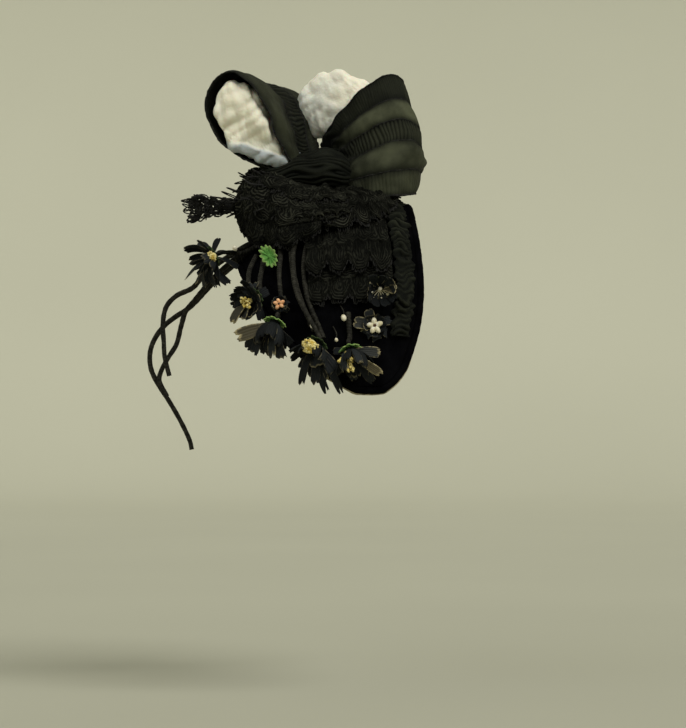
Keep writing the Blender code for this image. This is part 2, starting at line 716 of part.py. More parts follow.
def main():
    for piece in list(bpy.data.objects):
        bpy.data.objects.remove(piece)
    velvet = cloth("black velvet", (0.008, 0.008, 0.010), 0.9)
    lace = cloth("black lace", (0.018, 0.018, 0.017), 0.7)
    ribbon = cloth("black ribbon", (0.022, 0.024, 0.020), 0.6)
    paper = cloth("white tissue", (0.80, 0.77, 0.70), 0.8)
    dark = cloth("covered wire", (0.020, 0.018, 0.016), 0.55)
    finishes = {
        "petals": cloth("black petal cloth", (0.025, 0.028, 0.030), 0.65),
        "stamens": cloth("yellow stamens", (0.65, 0.45, 0.16), 0.8),
        "calyx": cloth("green calyx", (0.12, 0.30, 0.10), 0.8),
    }
    velvet_base(velvet)
    rim_roll(velvet)
    back_ruche(velvet)
    lace_mound(lace)
    for row in TIERS:
        lace_tier(row, 1, "left", lace)
        lace_tier(row, -1, "right", lace)
    lace_front_frill(lace)
    ribbon_loop("bow_loop_front", FRONT_LOOP, FRONT_ROOT, ribbon, False)
    ribbon_loop("bow_loop_back", BACK_LOOP, BACK_ROOT, ribbon, False)
    bow_knot(ribbon)
    loop_tissue(TISSUE[0], FRONT_LOOP, FRONT_ROOT, paper)
    loop_tissue(TISSUE[1], BACK_LOOP, BACK_ROOT, paper)
    ends = {row["name"]: flower(row, finishes) for row in FLOWERS}
    goals = {row["name"]: row for row in FLOWERS}
    for row in STEM_ROOTS:
        flower_stem(row, goals[row["name"]], *ends[row["name"]], dark)
    for name, table in LONG_STEMS.items():
        long_stem(name, table, dark)


main()
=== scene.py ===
"""Looks of a small evening bonnet of the 1880s: a velvet cap with lace, a ribbon bow and cloth flowers.

Metres, +Z up. The wearer faces -Y and the wearer's left is +X, as in the frame that the pieces are built on.
"""
import functools
import math
import random

import bmesh
import bpy
from bpy.props import FloatProperty, FloatVectorProperty, IntProperty, PointerProperty
from bpy.types import Operator, Panel, PropertyGroup
from mathutils import Matrix, Vector, noise


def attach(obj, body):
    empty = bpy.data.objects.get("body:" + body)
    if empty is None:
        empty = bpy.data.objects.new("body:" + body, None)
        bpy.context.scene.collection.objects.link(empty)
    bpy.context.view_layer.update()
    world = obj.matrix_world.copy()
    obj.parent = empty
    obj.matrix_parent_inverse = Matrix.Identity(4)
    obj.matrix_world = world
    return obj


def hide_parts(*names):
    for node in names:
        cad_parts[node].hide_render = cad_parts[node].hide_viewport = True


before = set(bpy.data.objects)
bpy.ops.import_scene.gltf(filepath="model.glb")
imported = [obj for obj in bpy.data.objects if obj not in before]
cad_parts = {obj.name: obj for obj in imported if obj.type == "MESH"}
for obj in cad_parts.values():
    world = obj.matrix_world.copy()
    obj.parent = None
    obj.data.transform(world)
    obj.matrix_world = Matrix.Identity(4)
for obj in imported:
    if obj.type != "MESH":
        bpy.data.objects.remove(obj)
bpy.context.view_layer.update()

bl_info = {
    "name": "Evening Bonnet",
    "version": (1, 0, 0),
    "blender": (4, 5, 0),
    "location": "View3D > Sidebar > Bonnet",
    "description": "Finishes a velvet, lace and ribbon bonnet, piece by piece",
    "category": "Add Mesh",
}

MM = 0.001

# The head that the cap is shaped to: an egg whose long axis is pitched forward
HEAD_LENGTH = 0.205
HEAD_HEIGHT = 0.164
HEAD_BREADTH = 0.152
HEAD_PITCH = math.radians(35)
SEAT_AHEAD = 0.0096

# Walls, gaps and the cap
GAP = 0.0004
CAP_WALL = 0.0024
CAP_TOP = CAP_WALL + GAP
LOBE_ANGLE = math.radians(89)
CAP_FRONT = 0.0455
CAP_BACK = 0.0395
RIM_RADIUS = 0.0016
RUCHE_WIDTH = 0.0085
RUCHE_HEIGHT = 0.0016

# Lace
LACE_WALL = 0.0010
MOUND_FRONT = 0.0425
MOUND_SIDE = 0.046
MOUND_BACK = 0.0265
MOUND_RISE = 0.0265
MOUND_FLUTES = 13
TIER_STAND = 0.0016
TIER_FLUTE = 0.0012
TIER_FRONT = 0.26
TIER_BACK_INSET = RUCHE_WIDTH + 0.0032
TIER_SCALLOP = 0.10
FRILL_REACH = 0.021
FRILL_SPREAD = 0.019
FRILL_WAVE = 0.0055
FRILL_HEIGHT = 0.007

# Bow
RIBBON_WALL = 0.0010
RIBBON_WIDTH = 0.070
LOOP_LENGTH = 0.066
KNOT_BEHIND = -0.005
KNOT_HALF_LENGTH = 0.0065
KNOT_HALF_WIDTH = 0.013
KNOT_TOP = 0.031
KNOT_MIDDLE = 0.0235

# Flowers and stems
PETAL_LENGTH = 0.0135
PETAL_WIDTH = 0.0043
HUB_RADIUS = 0.0026
HUB_DEPTH = 0.0016
CALYX_RADIUS = 0.0056
CALYX_WALL = 0.0009
CALYX_BACK = -GAP - CALYX_WALL
STEM_RADIUS = 0.00115
STEM_REACH = 0.093
STEM_DROP = 0.116

# Walls that the cloth of each kind is drawn with, thinner than its solid's
LACE_CLOTH = 0.00042
RIBBON_CLOTH = 0.0004
FOLDED_CLOTH = 0.0005
PETAL_CLOTH = 0.00022
CALYX_CLOTH = 0.00045

# How many cells each cloth has, along it and down it
CAP_CELLS = (110, 44)
MOUND_CELLS = (350, 74)
CAPE_CELLS = (320, 64)
SKIRT_CELLS = (140, 28)
LOOP_CELLS = (380, 66)
CROSSPIECE_CELLS = (150, 80)

# How deep each cloth is when it lies flat
MOUND_FLAT = 0.052
FLOUNCE_FLAT = 0.021
CAPE_FLAT = 0.046
SKIRT_FLAT = 0.0135

# How long a pattern of scallops each lace piece has, side by side
MOUND_PATTERN = 0.250
CAPE_PATTERN = 0.190
SKIRT_PATTERN = 0.075
TIER_PATTERN = 0.054
FLOUNCE_PATTERN = 0.0128

# Turn from one bead to the next, so that they fill a round head evenly
GOLDEN_TURN = 2.399963


# Settings

def metres(name, description, default, low=0.0):
    """A length that a user can change."""
    return FloatProperty(
        name=name, description=description, default=default, min=low, unit="LENGTH", subtype="DISTANCE")


def tint(name, description, default):
    """A colour that a user can change."""
    return FloatVectorProperty(name=name, description=description, default=default, subtype="COLOR")


def power(name, description, default):
    """A light's strength that a user can change."""
    return FloatProperty(name=name, description=description, default=default)


class BonnetLace(PropertyGroup):
    pitch: metres("Ripple pitch", "Distance between the cords that run round a scallop", 0.00165, 0.0005)
    relief: metres("Ripple height", "How far the cords stand out of the net", 0.00016)
    scallop: metres("Scallop width", "Width of one scallop along the free edge", 0.0125, 0.004)
    thread: metres("Thread radius", "Radius of the edging thread and its picots", 0.00027, 0.0001)
    net: tint("Net", "Colour of the net between the cords", (0.0034, 0.0036, 0.0029))
    cord: tint("Cord", "Colour where the raised cords catch the light", (0.056, 0.057, 0.042))


class BonnetRibbon(PropertyGroup):
    pleat: metres("Pleat pitch", "Distance between the pleats of a shirred band", 0.0022, 0.0008)
    pleat_depth: metres("Pleat depth", "Depth of the pleats of a shirred band", 0.00075)
    puff: metres("Puff", "How far the smooth bands swell between the gathers", 0.0016)
    smooth: tint("Smooth bands", "Colour of the sheer bands over the paper", (0.105, 0.113, 0.068))
    shirred: tint(
        "Shirred bands", "Colour of the gathered bands, where the gauze lies double",
        (0.0062, 0.0070, 0.0055))


class BonnetFlowers(PropertyGroup):
    wear: FloatProperty(
        name="Edge wear", description="How much of each petal's edge has lost its dye",
        default=0.40, min=0.0, max=1.0, subtype="FACTOR")
    petal: tint("Petals", "Colour of the petal cloth", (0.0080, 0.0092, 0.0098))
    worn: tint("Worn edge", "Colour of the frayed petal edges", (0.42, 0.36, 0.20))
    calyx: tint("Calyx", "Colour of the toothed green discs", (0.115, 0.32, 0.062))
    stamen: tint("Stamens", "Colour of the flocked stamens", (0.65, 0.48, 0.09))


class BonnetCloth(PropertyGroup):
    velvet: tint("Velvet", "Colour of the cap's pile", (0.0014, 0.0014, 0.0017))
    tissue: tint("Tissue", "Colour of the paper in the loops", (0.93, 0.885, 0.72))
    gathers: IntProperty(
        name="Gathers", description="Gathers along the ruched band at the back", default=58, min=8)


class BonnetStage(PropertyGroup):
    floor_drop: metres("Floor", "How far the floor lies below the bonnet's seat", 0.235, 0.13)
    distance: metres("Camera distance", "How far the camera stands from the bonnet", 1.9, 0.5)
    backdrop: tint("Backdrop", "Colour of the floor and the curved wall", (0.490, 0.487, 0.388))
    key: power("Key light", "Strength of the soft light from over the camera's right", 1.85)
    fill: power("Fill light", "Strength of the softer light from the camera's left", 1.15)
    air: power("Air", "Strength of the light from all round", 0.60)


GROUPS = {
    "bonnet_lace": BonnetLace,
    "bonnet_ribbon": BonnetRibbon,
    "bonnet_flowers": BonnetFlowers,
    "bonnet_cloth": BonnetCloth,
    "bonnet_stage": BonnetStage,
}


# The head's form

HALF_LENGTH, HALF_HEIGHT, HALF_BREADTH = HEAD_LENGTH / 2, HEAD_HEIGHT / 2, HEAD_BREADTH / 2
PITCH_UP, PITCH_ALONG = math.sin(HEAD_PITCH), math.cos(HEAD_PITCH)
ANGLE_STEP = 0.01
BACK_STEP = 0.0005


def far_root(a, b, c):
    """The larger x for which a * x * x + b * x + c is 0."""
    return (-b + math.sqrt(max(b * b - 4 * a * c, 0.0))) / (2 * a)


def head_radius(angle, back):
    """How far the skin is from the head's middle line, in the direction angle, this far behind the seat."""
    ahead = back - SEAT_AHEAD
    up, across = math.cos(angle), math.sin(angle)
    a = (up * PITCH_UP / HALF_LENGTH) ** 2 + (up * PITCH_ALONG / HALF_HEIGHT) ** 2
    a += (across / HALF_BREADTH) ** 2
    b = 2 * ahead * up * PITCH_ALONG * PITCH_UP * (1 / HALF_LENGTH**2 - 1 / HALF_HEIGHT**2)
    c = (ahead * PITCH_ALONG / HALF_LENGTH) ** 2 + (ahead * PITCH_UP / HALF_HEIGHT) ** 2 - 1
    return far_root(a, b, c)


HEAD_MIDDLE_Z = -head_radius(0.0, 0.0)
HEAD_MIDDLE = Vector((0, SEAT_AHEAD, HEAD_MIDDLE_Z))


def skin(angle, back):
    """A point of the head's surface."""
    radius = head_radius(angle, back)
    return Vector((radius * math.sin(angle), back, HEAD_MIDDLE_Z + radius * math.cos(angle)))


def head_point(angle, back, lift=0.0):
    """A point lift above the skin: angle from the crown to the wearer's left, back behind the seat."""
    across = skin(angle + ANGLE_STEP, back) - skin(angle - ANGLE_STEP, back)
    along = skin(angle, back + BACK_STEP) - skin(angle, back - BACK_STEP)
    return skin(angle, back) + across.cross(along).normalized() * lift


def head_top(side, back, rise):
    """A point straight above the skin, by its place seen from above."""
    ahead = back - SEAT_AHEAD
    a = (PITCH_UP / HALF_LENGTH) ** 2 + (PITCH_ALONG / HALF_HEIGHT) ** 2
    b = 2 * ahead * PITCH_ALONG * PITCH_UP * (1 / HALF_LENGTH**2 - 1 / HALF_HEIGHT**2)
    c = (ahead * PITCH_ALONG / HALF_LENGTH) ** 2 + (ahead * PITCH_UP / HALF_HEIGHT) ** 2
    c += (side / HALF_BREADTH) ** 2 - 1
    return Vector((side, back, HEAD_MIDDLE_Z + far_root(a, b, c) + rise))


def off_head(point):
    """The way from the head's middle to this point."""
    return (point - HEAD_MIDDLE).normalized()


# Smooth values, lines and uneven hand work

def smooth_value(keys, values, at):
    """The value at `at` of a smooth line through (keys, values)."""
    last = len(keys) - 1
    at = min(max(at, keys[0]), keys[-1])
    i = max(k for k in range(last) if keys[k] <= at)

    def slope(k):
        low, high = max(k - 1, 0), min(k + 1, last)
        return (values[high] - values[low]) / (keys[high] - keys[low])

    span = keys[i + 1] - keys[i]
    t = (at - keys[i]) / span
    return (
        (2 * t**3 - 3 * t**2 + 1) * values[i]
        + (t**3 - 2 * t**2 + t) * span * slope(i)
        + (3 * t**2 - 2 * t**3) * values[i + 1]
        + (t**3 - t**2) * span * slope(i + 1)
    )


def rows_of(names, *rows):
    """A table: each row as a dictionary of the named columns."""
    return [dict(zip(names.split(), row)) for row in rows]


def table_value(table, key, name, at):
    """What the column called name holds where the column called key would hold `at`."""
    return smooth_value([row[key] for row in table], [row[name] for row in table], at)


def distances(line):
    """How far along the line each of its points is."""
    run = [0.0]
    for before, after in zip(line, line[1:]):
        run.append(run[-1] + (after - before).length)
    return run


def smooth_line(points, count):
    """count points, evenly numbered, on a smooth line through the given ones."""
    keys = distances(points)
    line = []
    for i in range(count):
        at = keys[-1] * i / (count - 1)
        line.append(Vector([smooth_value(keys, [p[axis] for p in points], at) for axis in range(3)]))
    return line


def around(turn, out=1.0, high=0.0):
    """A point this far out and this high, at this turn about the upright axis."""
    return Vector((out * math.cos(turn), out * math.sin(turn), high))


def ramp(low, high, value):
    """0 at low and 1 at high, with a soft start and end."""
    share = min(max((value - low) / (high - low), 0.0), 1.0)
    return share * share * (3 - 2 * share)


OFF_THE_GRID = (0.37, 0.61)


def uneven(*place):
    """A smooth wandering value from about -1 to 1, for gathers and folds made by hand."""
    return noise.noise(Vector((*place, *OFF_THE_GRID)[:3])) * 1.6


# Meshes

SEAM_SHARE = 1e-5
MERGE_DISTANCE = 1e-6


def new_mesh(*marks):
    """An empty mesh that can keep these marks, a number at each corner for the finish to read."""
    bm = bmesh.new()
    bm.loops.layers.uv.new("UVMap")
    for name in marks:
        bm.verts.layers.float.new(name)
    return bm


def grid(bm, columns, rows, place, closed=False):
    """Adds a surface whose corners go where place(u, v) says, and returns its corners with their u and v."""
    made = bmesh.ops.create_grid(bm, x_segments=columns, y_segments=rows, size=1.0, calc_uvs=True)["verts"]
    shares = {corner: ((corner.co.x + 1) / 2, (corner.co.y + 1) / 2) for corner in made}
    for corner, (u, v) in shares.items():
        corner.co = place(u, v)
    if closed:
        seam = [corner for corner, (u, v) in shares.items() if min(u, 1 - u) < SEAM_SHARE]
        bmesh.ops.remove_doubles(bm, verts=seam, dist=MERGE_DISTANCE)
        shares = {corner: share for corner, share in shares.items() if corner.is_valid}
    return shares


def raise_relief(bm, shares, height):
    """Moves each corner out of the surface by height(u, v)."""
    bm.normal_update()
    moves = [(corner, corner.normal * height(u, v)) for corner, (u, v) in shares.items()]
    for corner, move in moves:
        corner.co += move


def mark(bm, shares, name, value):
    """Keeps value(u, v) at each corner under this name."""
    layer = bm.verts.layers.float[name]
    for corner, (u, v) in shares.items():
        corner[layer] = value(u, v)


def turn_outwards(bm):
    if bm.calc_volume(signed=True) < 0:
        bmesh.ops.reverse_faces(bm, faces=bm.faces)


def turn_off_head(bm):
    """Turns an open surface so that it faces away from the head."""
    bm.normal_update()
    facing = sum((corner.normal.dot(off_head(corner.co)) for corner in bm.verts), 0.0)
    if facing < 0:
        bmesh.ops.reverse_faces(bm, faces=bm.faces)


def tube(bm, line, radii, sides, ring=False):
    """Adds a round thread or stem along a line, and marks the way along it where the mesh keeps that."""
    count = len(line)
    ways = []
    for i in range(count):
        before = line[i - 1] if ring or i else line[0]
        after = line[(i + 1) % count] if ring or i < count - 1 else line[-1]
        ways.append((after - before).normalized())
    side = ways[0].orthogonal().normalized()
    sides_at = []
    for way in ways:
        side = (side - way * side.dot(way)).normalized()
        sides_at.append((side, way.cross(side)))

    def place(u, v):
        i = round(v * (count - 1))
        right, up = sides_at[i]
        turn = 2 * math.pi * u
        return line[i] + (right * math.cos(turn) + up * math.sin(turn)) * radii[i]

    shares = grid(bm, sides, count - 1, place, closed=True)
    if "along" in bm.verts.layers.float.keys():
        run = distances(line)
        mark(bm, shares, "along", lambda u, v: run[round(v * (count - 1))])
    edges = {edge for corner in shares for edge in corner.link_edges if edge.is_boundary}
    if ring:
        bmesh.ops.bridge_loops(bm, edges=list(edges))
    else:
        bmesh.ops.holes_fill(bm, edges=list(edges), sides=sides)


def bead(bm, at, radius, detail=1, squash=1.0, facing=(0, 0, 1)):
    """Adds a round bead or knob."""
    turn = Vector(facing).to_track_quat("Z", "Y").to_matrix().to_4x4()
    stretch = Matrix.Diagonal((1, 1, squash, 1))
    place = Matrix.Translation(at) @ turn @ stretch
    bmesh.ops.create_icosphere(bm, subdivisions=detail, radius=radius, matrix=place)


def piece_from(name, bm, finish, replaces=(), wall=0.0):
    """Makes the mesh a piece of the bonnet, with a wall of this thickness if it is a cloth surface."""
    mesh = bpy.data.meshes.new(name)
    bm.to_mesh(mesh)
    bm.free()
    mesh.shade_smooth()
    mesh.materials.append(finish_named(finish))
    piece = bpy.data.objects.new(name, mesh)
    bpy.context.scene.collection.objects.link(piece)
    if wall:
        solidify = piece.modifiers.new("wall", "SOLIDIFY")
        solidify.thickness = wall
        solidify.offset = 0.0
    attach(piece, "root")
    if replaces:
        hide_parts(*replaces)
    return piece


def flat_size(piece, depth):
    """The cloth laid flat: its depth, and the length that its area then gives it."""
    return depth, sum(face.area for face in piece.data.polygons) / depth


# Finishes

def shaded(colour, *shares):
    """The colour times one share, or its red, green and blue each times their own."""
    return [part * share for part, share in zip(colour, shares * 3)]


class Finish:
    """A material whose shader holds these values. The methods add nodes and return what comes out of them."""

    def __init__(self, name, sockets):
        self.material = bpy.data.materials.new(f"bonnet {name}")
        self.material.use_nodes = True
        self.shader = self.material.node_tree.nodes["Principled BSDF"]
        for socket, value in sockets.items():
            self.shader.inputs[socket].default_value = value
        self.places = self.node("ShaderNodeTexCoord").outputs["Object"]

    def feed(self, socket, value):
        """Links an output to the socket, or sets the socket to a plain value."""
        if isinstance(value, bpy.types.NodeSocket):
            self.material.node_tree.links.new(value, socket)
        else:
            socket.default_value = value

    def node(self, kind, inputs=(), **settings):
        node = self.material.node_tree.nodes.new(kind)
        for name, value in settings.items():
            setattr(node, name, value)
        for name, value in dict(inputs).items():
            self.feed(node.inputs[name], value)
        return node

    def noise(self, scale, detail=2.0, roughness=0.5):
        inputs = {"Vector": self.places, "Scale": scale, "Detail": detail, "Roughness": roughness}
        return self.node("ShaderNodeTexNoise", inputs).outputs["Fac"]

    def mark(self, name):
        """What the mesh keeps at its corners under this name."""
        return self.node("ShaderNodeAttribute", attribute_name=name).outputs["Fac"]

    def uv(self):
        return self.node("ShaderNodeUVMap", uv_map="UVMap").outputs["UV"]

    def split(self, coordinates):
        """The first two of the coordinates."""
        outputs = self.node("ShaderNodeSeparateXYZ", {"Vector": coordinates}).outputs
        return outputs["X"], outputs["Y"]

    def remap(self, value, low, high, to_low=0.0, to_high=1.0):
        ends = {"Value": value, "From Min": low, "From Max": high, "To Min": to_low, "To Max": to_high}
        return self.node("ShaderNodeMapRange", ends).outputs["Result"]

    def reckon(self, how, *values):
        node = self.node("ShaderNodeMath", operation=how)
        for socket, value in zip(node.inputs, values):
            self.feed(socket, value)
        return node.outputs["Value"]

    def times(self, first, second):
        return self.reckon("MULTIPLY", first, second)

    def plus(self, first, second):
        return self.reckon("ADD", first, second)

    def wave(self, value, count=1):
        """A wave that comes back this many times in each unit of the value."""
        return self.reckon("SINE", self.times(value, 2 * math.pi * count))

    def weave(self, coordinates, threads):
        """Over and under of a plain weave, with this many threads to each unit of the coordinates."""
        waves = [self.wave(axis, count) for axis, count in zip(self.split(coordinates), threads)]
        return self.times(*waves)

    def blend(self, share, first, second):
        """From the first colour to the second."""
        node = self.node("ShaderNodeMix", {"Factor": share}, data_type="RGBA")
        for socket, colour in ((node.inputs[6], first), (node.inputs[7], second)):
            self.feed(socket, colour if isinstance(colour, bpy.types.NodeSocket) else (*colour, 1.0))
        return node.outputs[2]

    def done(self, colour, height, distance, strength):
        """Gives the shader its colour and its fine relief, and returns the material."""
        relief = self.node("ShaderNodeBump", {"Height": height, "Distance": distance, "Strength": strength})
        self.feed(self.shader.inputs["Base Color"], colour)
        self.feed(self.shader.inputs["Normal"], relief.outputs["Normal"])
        return self.material


def velvet_finish():
    velvet = bpy.context.scene.bonnet_cloth.velvet
    finish = Finish("velvet", {
        "Roughness": 0.95, "Specular IOR Level": 0.0, "Sheen Weight": 0.006, "Sheen Roughness": 0.3,
        "Sheen Tint": (0.62, 0.62, 0.72, 1.0),
    })
    brushed = finish.remap(finish.noise(95.0, 4.0, 0.62), 0.38, 0.66)
    pile = finish.noise(2600.0, 2.0, 0.7)
    colour = finish.blend(brushed, velvet, shaded(velvet, 2.6))
    height = finish.plus(pile, finish.times(brushed, 0.5))
    return finish.done(colour, height, distance=0.00035, strength=0.8)


def lace_finish():
    """Net with raised cords, painted paler where they catch the light: ripple counts them from a scallop's
    middle, and tone is how strong that painted highlight is.
    """
    sizes = bpy.context.scene.bonnet_lace
    finish = Finish("lace", {"Roughness": 0.62, "Specular IOR Level": 0.02, "Sheen Weight": 0.0})
    turn = finish.times(finish.mark("ripple"), 2 * math.pi)
    cord = finish.remap(finish.reckon("COSINE", turn), -0.1, 0.8)
    net = finish.node(
        "ShaderNodeTexVoronoi", {"Vector": finish.places, "Scale": 1500.0}, feature="DISTANCE_TO_EDGE")
    thread = finish.remap(net.outputs["Distance"], 0.02, 0.20, 1.0, 0.0)
    fade = finish.remap(finish.noise(120.0, 3.0), 0.34, 0.62, 0.25, 1.0)
    lit = finish.times(finish.times(cord, fade), finish.mark("tone"))
    ground = finish.blend(finish.times(thread, fade), sizes.net, shaded(sizes.net, 3.2))
    colour = finish.blend(lit, ground, sizes.cord)
    height = finish.plus(cord, finish.times(thread, 0.35))
    return finish.done(colour, height, distance=0.0006, strength=0.9)


def thread_finish(name, colour, roughness, pitch):
    """Twisted thread: the mark along gives the distance along it, and u goes round it."""
    finish = Finish(name, {
        "Roughness": roughness, "Specular IOR Level": 0.08, "Sheen Weight": 0.01, "Sheen Roughness": 0.5,
    })
    round_it, _ = finish.split(finish.uv())
    wrap = finish.wave(finish.plus(finish.times(finish.mark("along"), 1 / pitch), round_it))
    worn = finish.remap(finish.noise(420.0, 3.0, 0.6), 0.42, 0.68)
    height = finish.plus(finish.times(wrap, 0.5), worn)
    blended = finish.blend(worn, colour, shaded(colour, 3.0))
    return finish.done(blended, height, distance=0.00022, strength=0.8)


def ribbon_finish(name="ribbon", light_share=1.0):
    """Sheer ribbon: the mark tone is 1 on smooth bands, where the paper behind lifts the colour, and also
    holds painted shade and painted highlights on the folds. The second argument, below 1, paints shade all
    over.
    """
    sizes = bpy.context.scene.bonnet_ribbon
    finish = Finish(name, {
        "Roughness": 0.55, "Specular IOR Level": 0.04, "Sheen Weight": 0.008, "Sheen Roughness": 0.45,
        "Sheen Tint": (0.80, 0.84, 0.72, 1.0),
    })
    behind = finish.remap(finish.noise(46.0, 4.0, 0.6), 0.36, 0.66, 0.35, 1.0)
    tone = finish.times(finish.mark("tone"), finish.times(behind, light_share))
    colour = finish.blend(tone, sizes.shirred, sizes.smooth)
    threads = finish.weave(finish.uv(), (420, 190))
    slub = finish.noise(900.0, 2.0)
    height = finish.plus(finish.times(threads, 0.35), slub)
    return finish.done(colour, height, distance=0.00015, strength=0.7)


def tissue_finish():
    """Crumpled paper, stained here and there: the mark cool is where it lies in the loop's own shade."""
    tissue = bpy.context.scene.bonnet_cloth.tissue
    finish = Finish("tissue", {
        "Roughness": 0.82, "Specular IOR Level": 0.2, "Subsurface Weight": 0.12, "Subsurface Scale": 0.004,
        "Sheen Weight": 0.05,
    })
    fibre = finish.noise(1500.0, 3.0, 0.6)
    stain = finish.remap(finish.noise(34.0, 3.0), 0.40, 0.66)
    warm = finish.blend(stain, tissue, shaded(tissue, 0.92, 0.97, 1.05))
    colour = finish.blend(finish.mark("cool"), warm, shaded(tissue, 0.55, 0.63, 0.80))
    creases = finish.noise(210.0, 5.0, 0.65)
    height = finish.plus(creases, finish.times(fibre, 0.2))
    return finish.done(colour, height, distance=0.0012, strength=0.55)


def petal_finish():
    """Stiffened petal cloth: u runs across a petal, v along it, and the mark shade differs between petals."""
    sizes = bpy.context.scene.bonnet_flowers
    finish = Finish("petal_cloth", {
        "Roughness": 0.62, "Specular IOR Level": 0.08, "Sheen Weight": 0.01, "Sheen Roughness": 0.4,
        "Sheen Tint": (0.75, 0.82, 0.9, 1.0),
    })
    across, along = finish.split(finish.uv())
    off_middle = finish.reckon("ABSOLUTE", finish.reckon("SUBTRACT", across, 0.5))
    at_side = finish.remap(off_middle, 0.36, 0.50)
    at_tip = finish.remap(along, 0.84, 1.0)
    at_edge = finish.reckon("MAXIMUM", at_side, at_tip)
    patch = finish.remap(finish.noise(380.0, 4.0, 0.6), 0.34, 0.60)
    shade = finish.mark("shade")
    wear = finish.times(finish.times(at_edge, patch), sizes.wear * 2)
    wear = finish.times(wear, finish.remap(shade, 0.0, 0.8, 0.15, 1.0))
    wear = finish.remap(wear, 0.12, 0.62)
    dyed = finish.blend(finish.remap(shade, 0.0, 0.6), sizes.petal, shaded(sizes.petal, 3.6))
    slate = finish.blend(finish.remap(shade, 0.55, 0.95), dyed, shaded(sizes.worn, 0.20))
    colour = finish.blend(wear, slate, sizes.worn)
    threads = finish.weave(finish.places, (2400, 2400))
    vein = finish.wave(across, 5)
    height = finish.plus(finish.times(threads, 0.3), finish.times(vein, 0.5))
    return finish.done(colour, height, distance=0.00018, strength=0.8)


def flock_finish(name, colour, pale):
    """Flocked stamen tips: grainy, and paler here and there."""
    finish = Finish(name, {"Roughness": 0.9, "Specular IOR Level": 0.15, "Sheen Weight": 0.06})
    grain = finish.noise(2600.0, 2.0, 0.7)
    patch = finish.remap(finish.noise(520.0, 3.0), 0.38, 0.62)
    return finish.done(finish.blend(patch, colour, pale), grain, distance=0.0003, strength=0.9)


def calyx_finish(name="calyx_green", light=1.0):
    """Green stiffened cloth: v runs out from the middle to the teeth.

    The second argument, below 1, darkens the green as painted shade.
    """
    sizes = bpy.context.scene.bonnet_flowers
    finish = Finish(name, {"Roughness": 0.75, "Specular IOR Level": 0.2, "Sheen Weight": 0.04})
    _, outward = finish.split(finish.uv())
    tooth = finish.remap(outward, 0.55, 1.0)
    patch = finish.remap(finish.noise(620.0, 3.0), 0.34, 0.64, 0.35, 1.0)
    green, pale = shaded(sizes.calyx, light), shaded((0.34, 0.48, 0.15), light)
    colour = finish.blend(finish.times(tooth, patch), green, pale)
    return finish.done(colour, finish.weave(finish.places, (2200, 2200)), distance=0.00012, strength=0.8)


def backdrop_finish():
    backdrop = bpy.context.scene.bonnet_stage.backdrop
    finish = Finish("backdrop", {"Roughness": 0.95, "Specular IOR Level": 0.1})
    tone = finish.remap(finish.noise(2.2, 2.0), 0.3, 0.7)
    colour = finish.blend(tone, backdrop, shaded(backdrop, 0.96))
    return finish.done(colour, finish.noise(600.0, 2.0), distance=0.0002, strength=0.3)


FINISHES = {
    "velvet": velvet_finish,
    "lace": lace_finish,
    "ribbon": ribbon_finish,
    # The loops' inner faces: the same ribbon in painted shade, its smooth bands kept dark
    "ribbon_inside_shaded": lambda: ribbon_finish("ribbon_inside_shaded", 0.16),
    "tissue": tissue_finish,
    "petal_cloth": petal_finish,
    "calyx_green": calyx_finish,
    "calyx_dark": lambda: calyx_finish("calyx_dark", 0.16),
    "backdrop": backdrop_finish,
    "thread": lambda: thread_finish("thread", (0.010, 0.010, 0.009), 0.65, 0.0011),
    "covered_wire": lambda: thread_finish("covered_wire", (0.013, 0.0125, 0.0095), 0.58, 0.0016),
    "worn_edge": lambda: thread_finish("worn_edge", (0.20, 0.175, 0.115), 0.7, 0.0013),
    "stamens": lambda: flock_finish("stamens", bpy.context.scene.bonnet_flowers.stamen, (0.84, 0.74, 0.35)),
    "eye": lambda: flock_finish("eye", (0.05, 0.022, 0.012), (0.10, 0.05, 0.03)),
    "cream": lambda: flock_finish("cream", (0.71, 0.64, 0.42), (0.86, 0.82, 0.67)),
    "orange": lambda: flock_finish("orange", (0.78, 0.33, 0.13), (0.93, 0.56, 0.30)),
}


def finish_named(name):
    return bpy.data.materials.get(f"bonnet {name}") or FINISHES[name]()


# Cap

CAP_OUTLINE = rows_of(
    "angle front back",
    (0.00, 1.00, 0.865),
    (0.27, 0.95, 0.93),
    (0.48, 0.84, 0.99),
    (0.62, 0.73, 1.00),
    (0.74, 0.58, 0.96),
    (0.83, 0.38, 0.89),
    (0.92, 0.12, 0.79),
    (0.97, -0.09, 0.68),
    (1.00, -0.24, 0.56),
)


def cap_front(angle):
    return -CAP_FRONT * table_value(CAP_OUTLINE, "angle", "front", abs(angle) / LOBE_ANGLE)


def cap_back(angle):
    return CAP_BACK * table_value(CAP_OUTLINE, "angle", "back", abs(angle) / LOBE_ANGLE)


OUTLINE_STEPS = 56


def cap_share(share):
    """Places the cap's sections closer together at the lobes, where the outline turns."""
    across = 2 * share - 1
    return LOBE_ANGLE * math.copysign(1 - (1 - abs(across)) ** 1.35, across)


def rim_line(count, outward, inward=0.0):
    """Points round the cap's outline, this far outside it and below its middle."""
    shares = [i / OUTLINE_STEPS for i in range(OUTLINE_STEPS + 1)]
    flat = [(cap_share(share), cap_front(cap_share(share))) for share in shares]
    flat += [(cap_share(1 - share), cap_back(cap_share(1 - share))) for share in shares]
    middle = [head_point(angle, back, CAP_WALL / 2) for angle, back in flat]
    line = []
    for i, here in enumerate(middle):
        along = (middle[(i + 1) % len(middle)] - middle[i - 1]).normalized()
        angle, back = flat[i]
        up = (head_point(angle, back, CAP_WALL) - head_point(angle, back)).normalized()
        line.append(here + along.cross(up) * outward - up * inward)
    return smooth_line([*line, line[0]], count + 1)[:-1]


PILE_RELIEF = 0.00018
WORN_RADIUS = 0.00055
WORN_FROM = 0.80


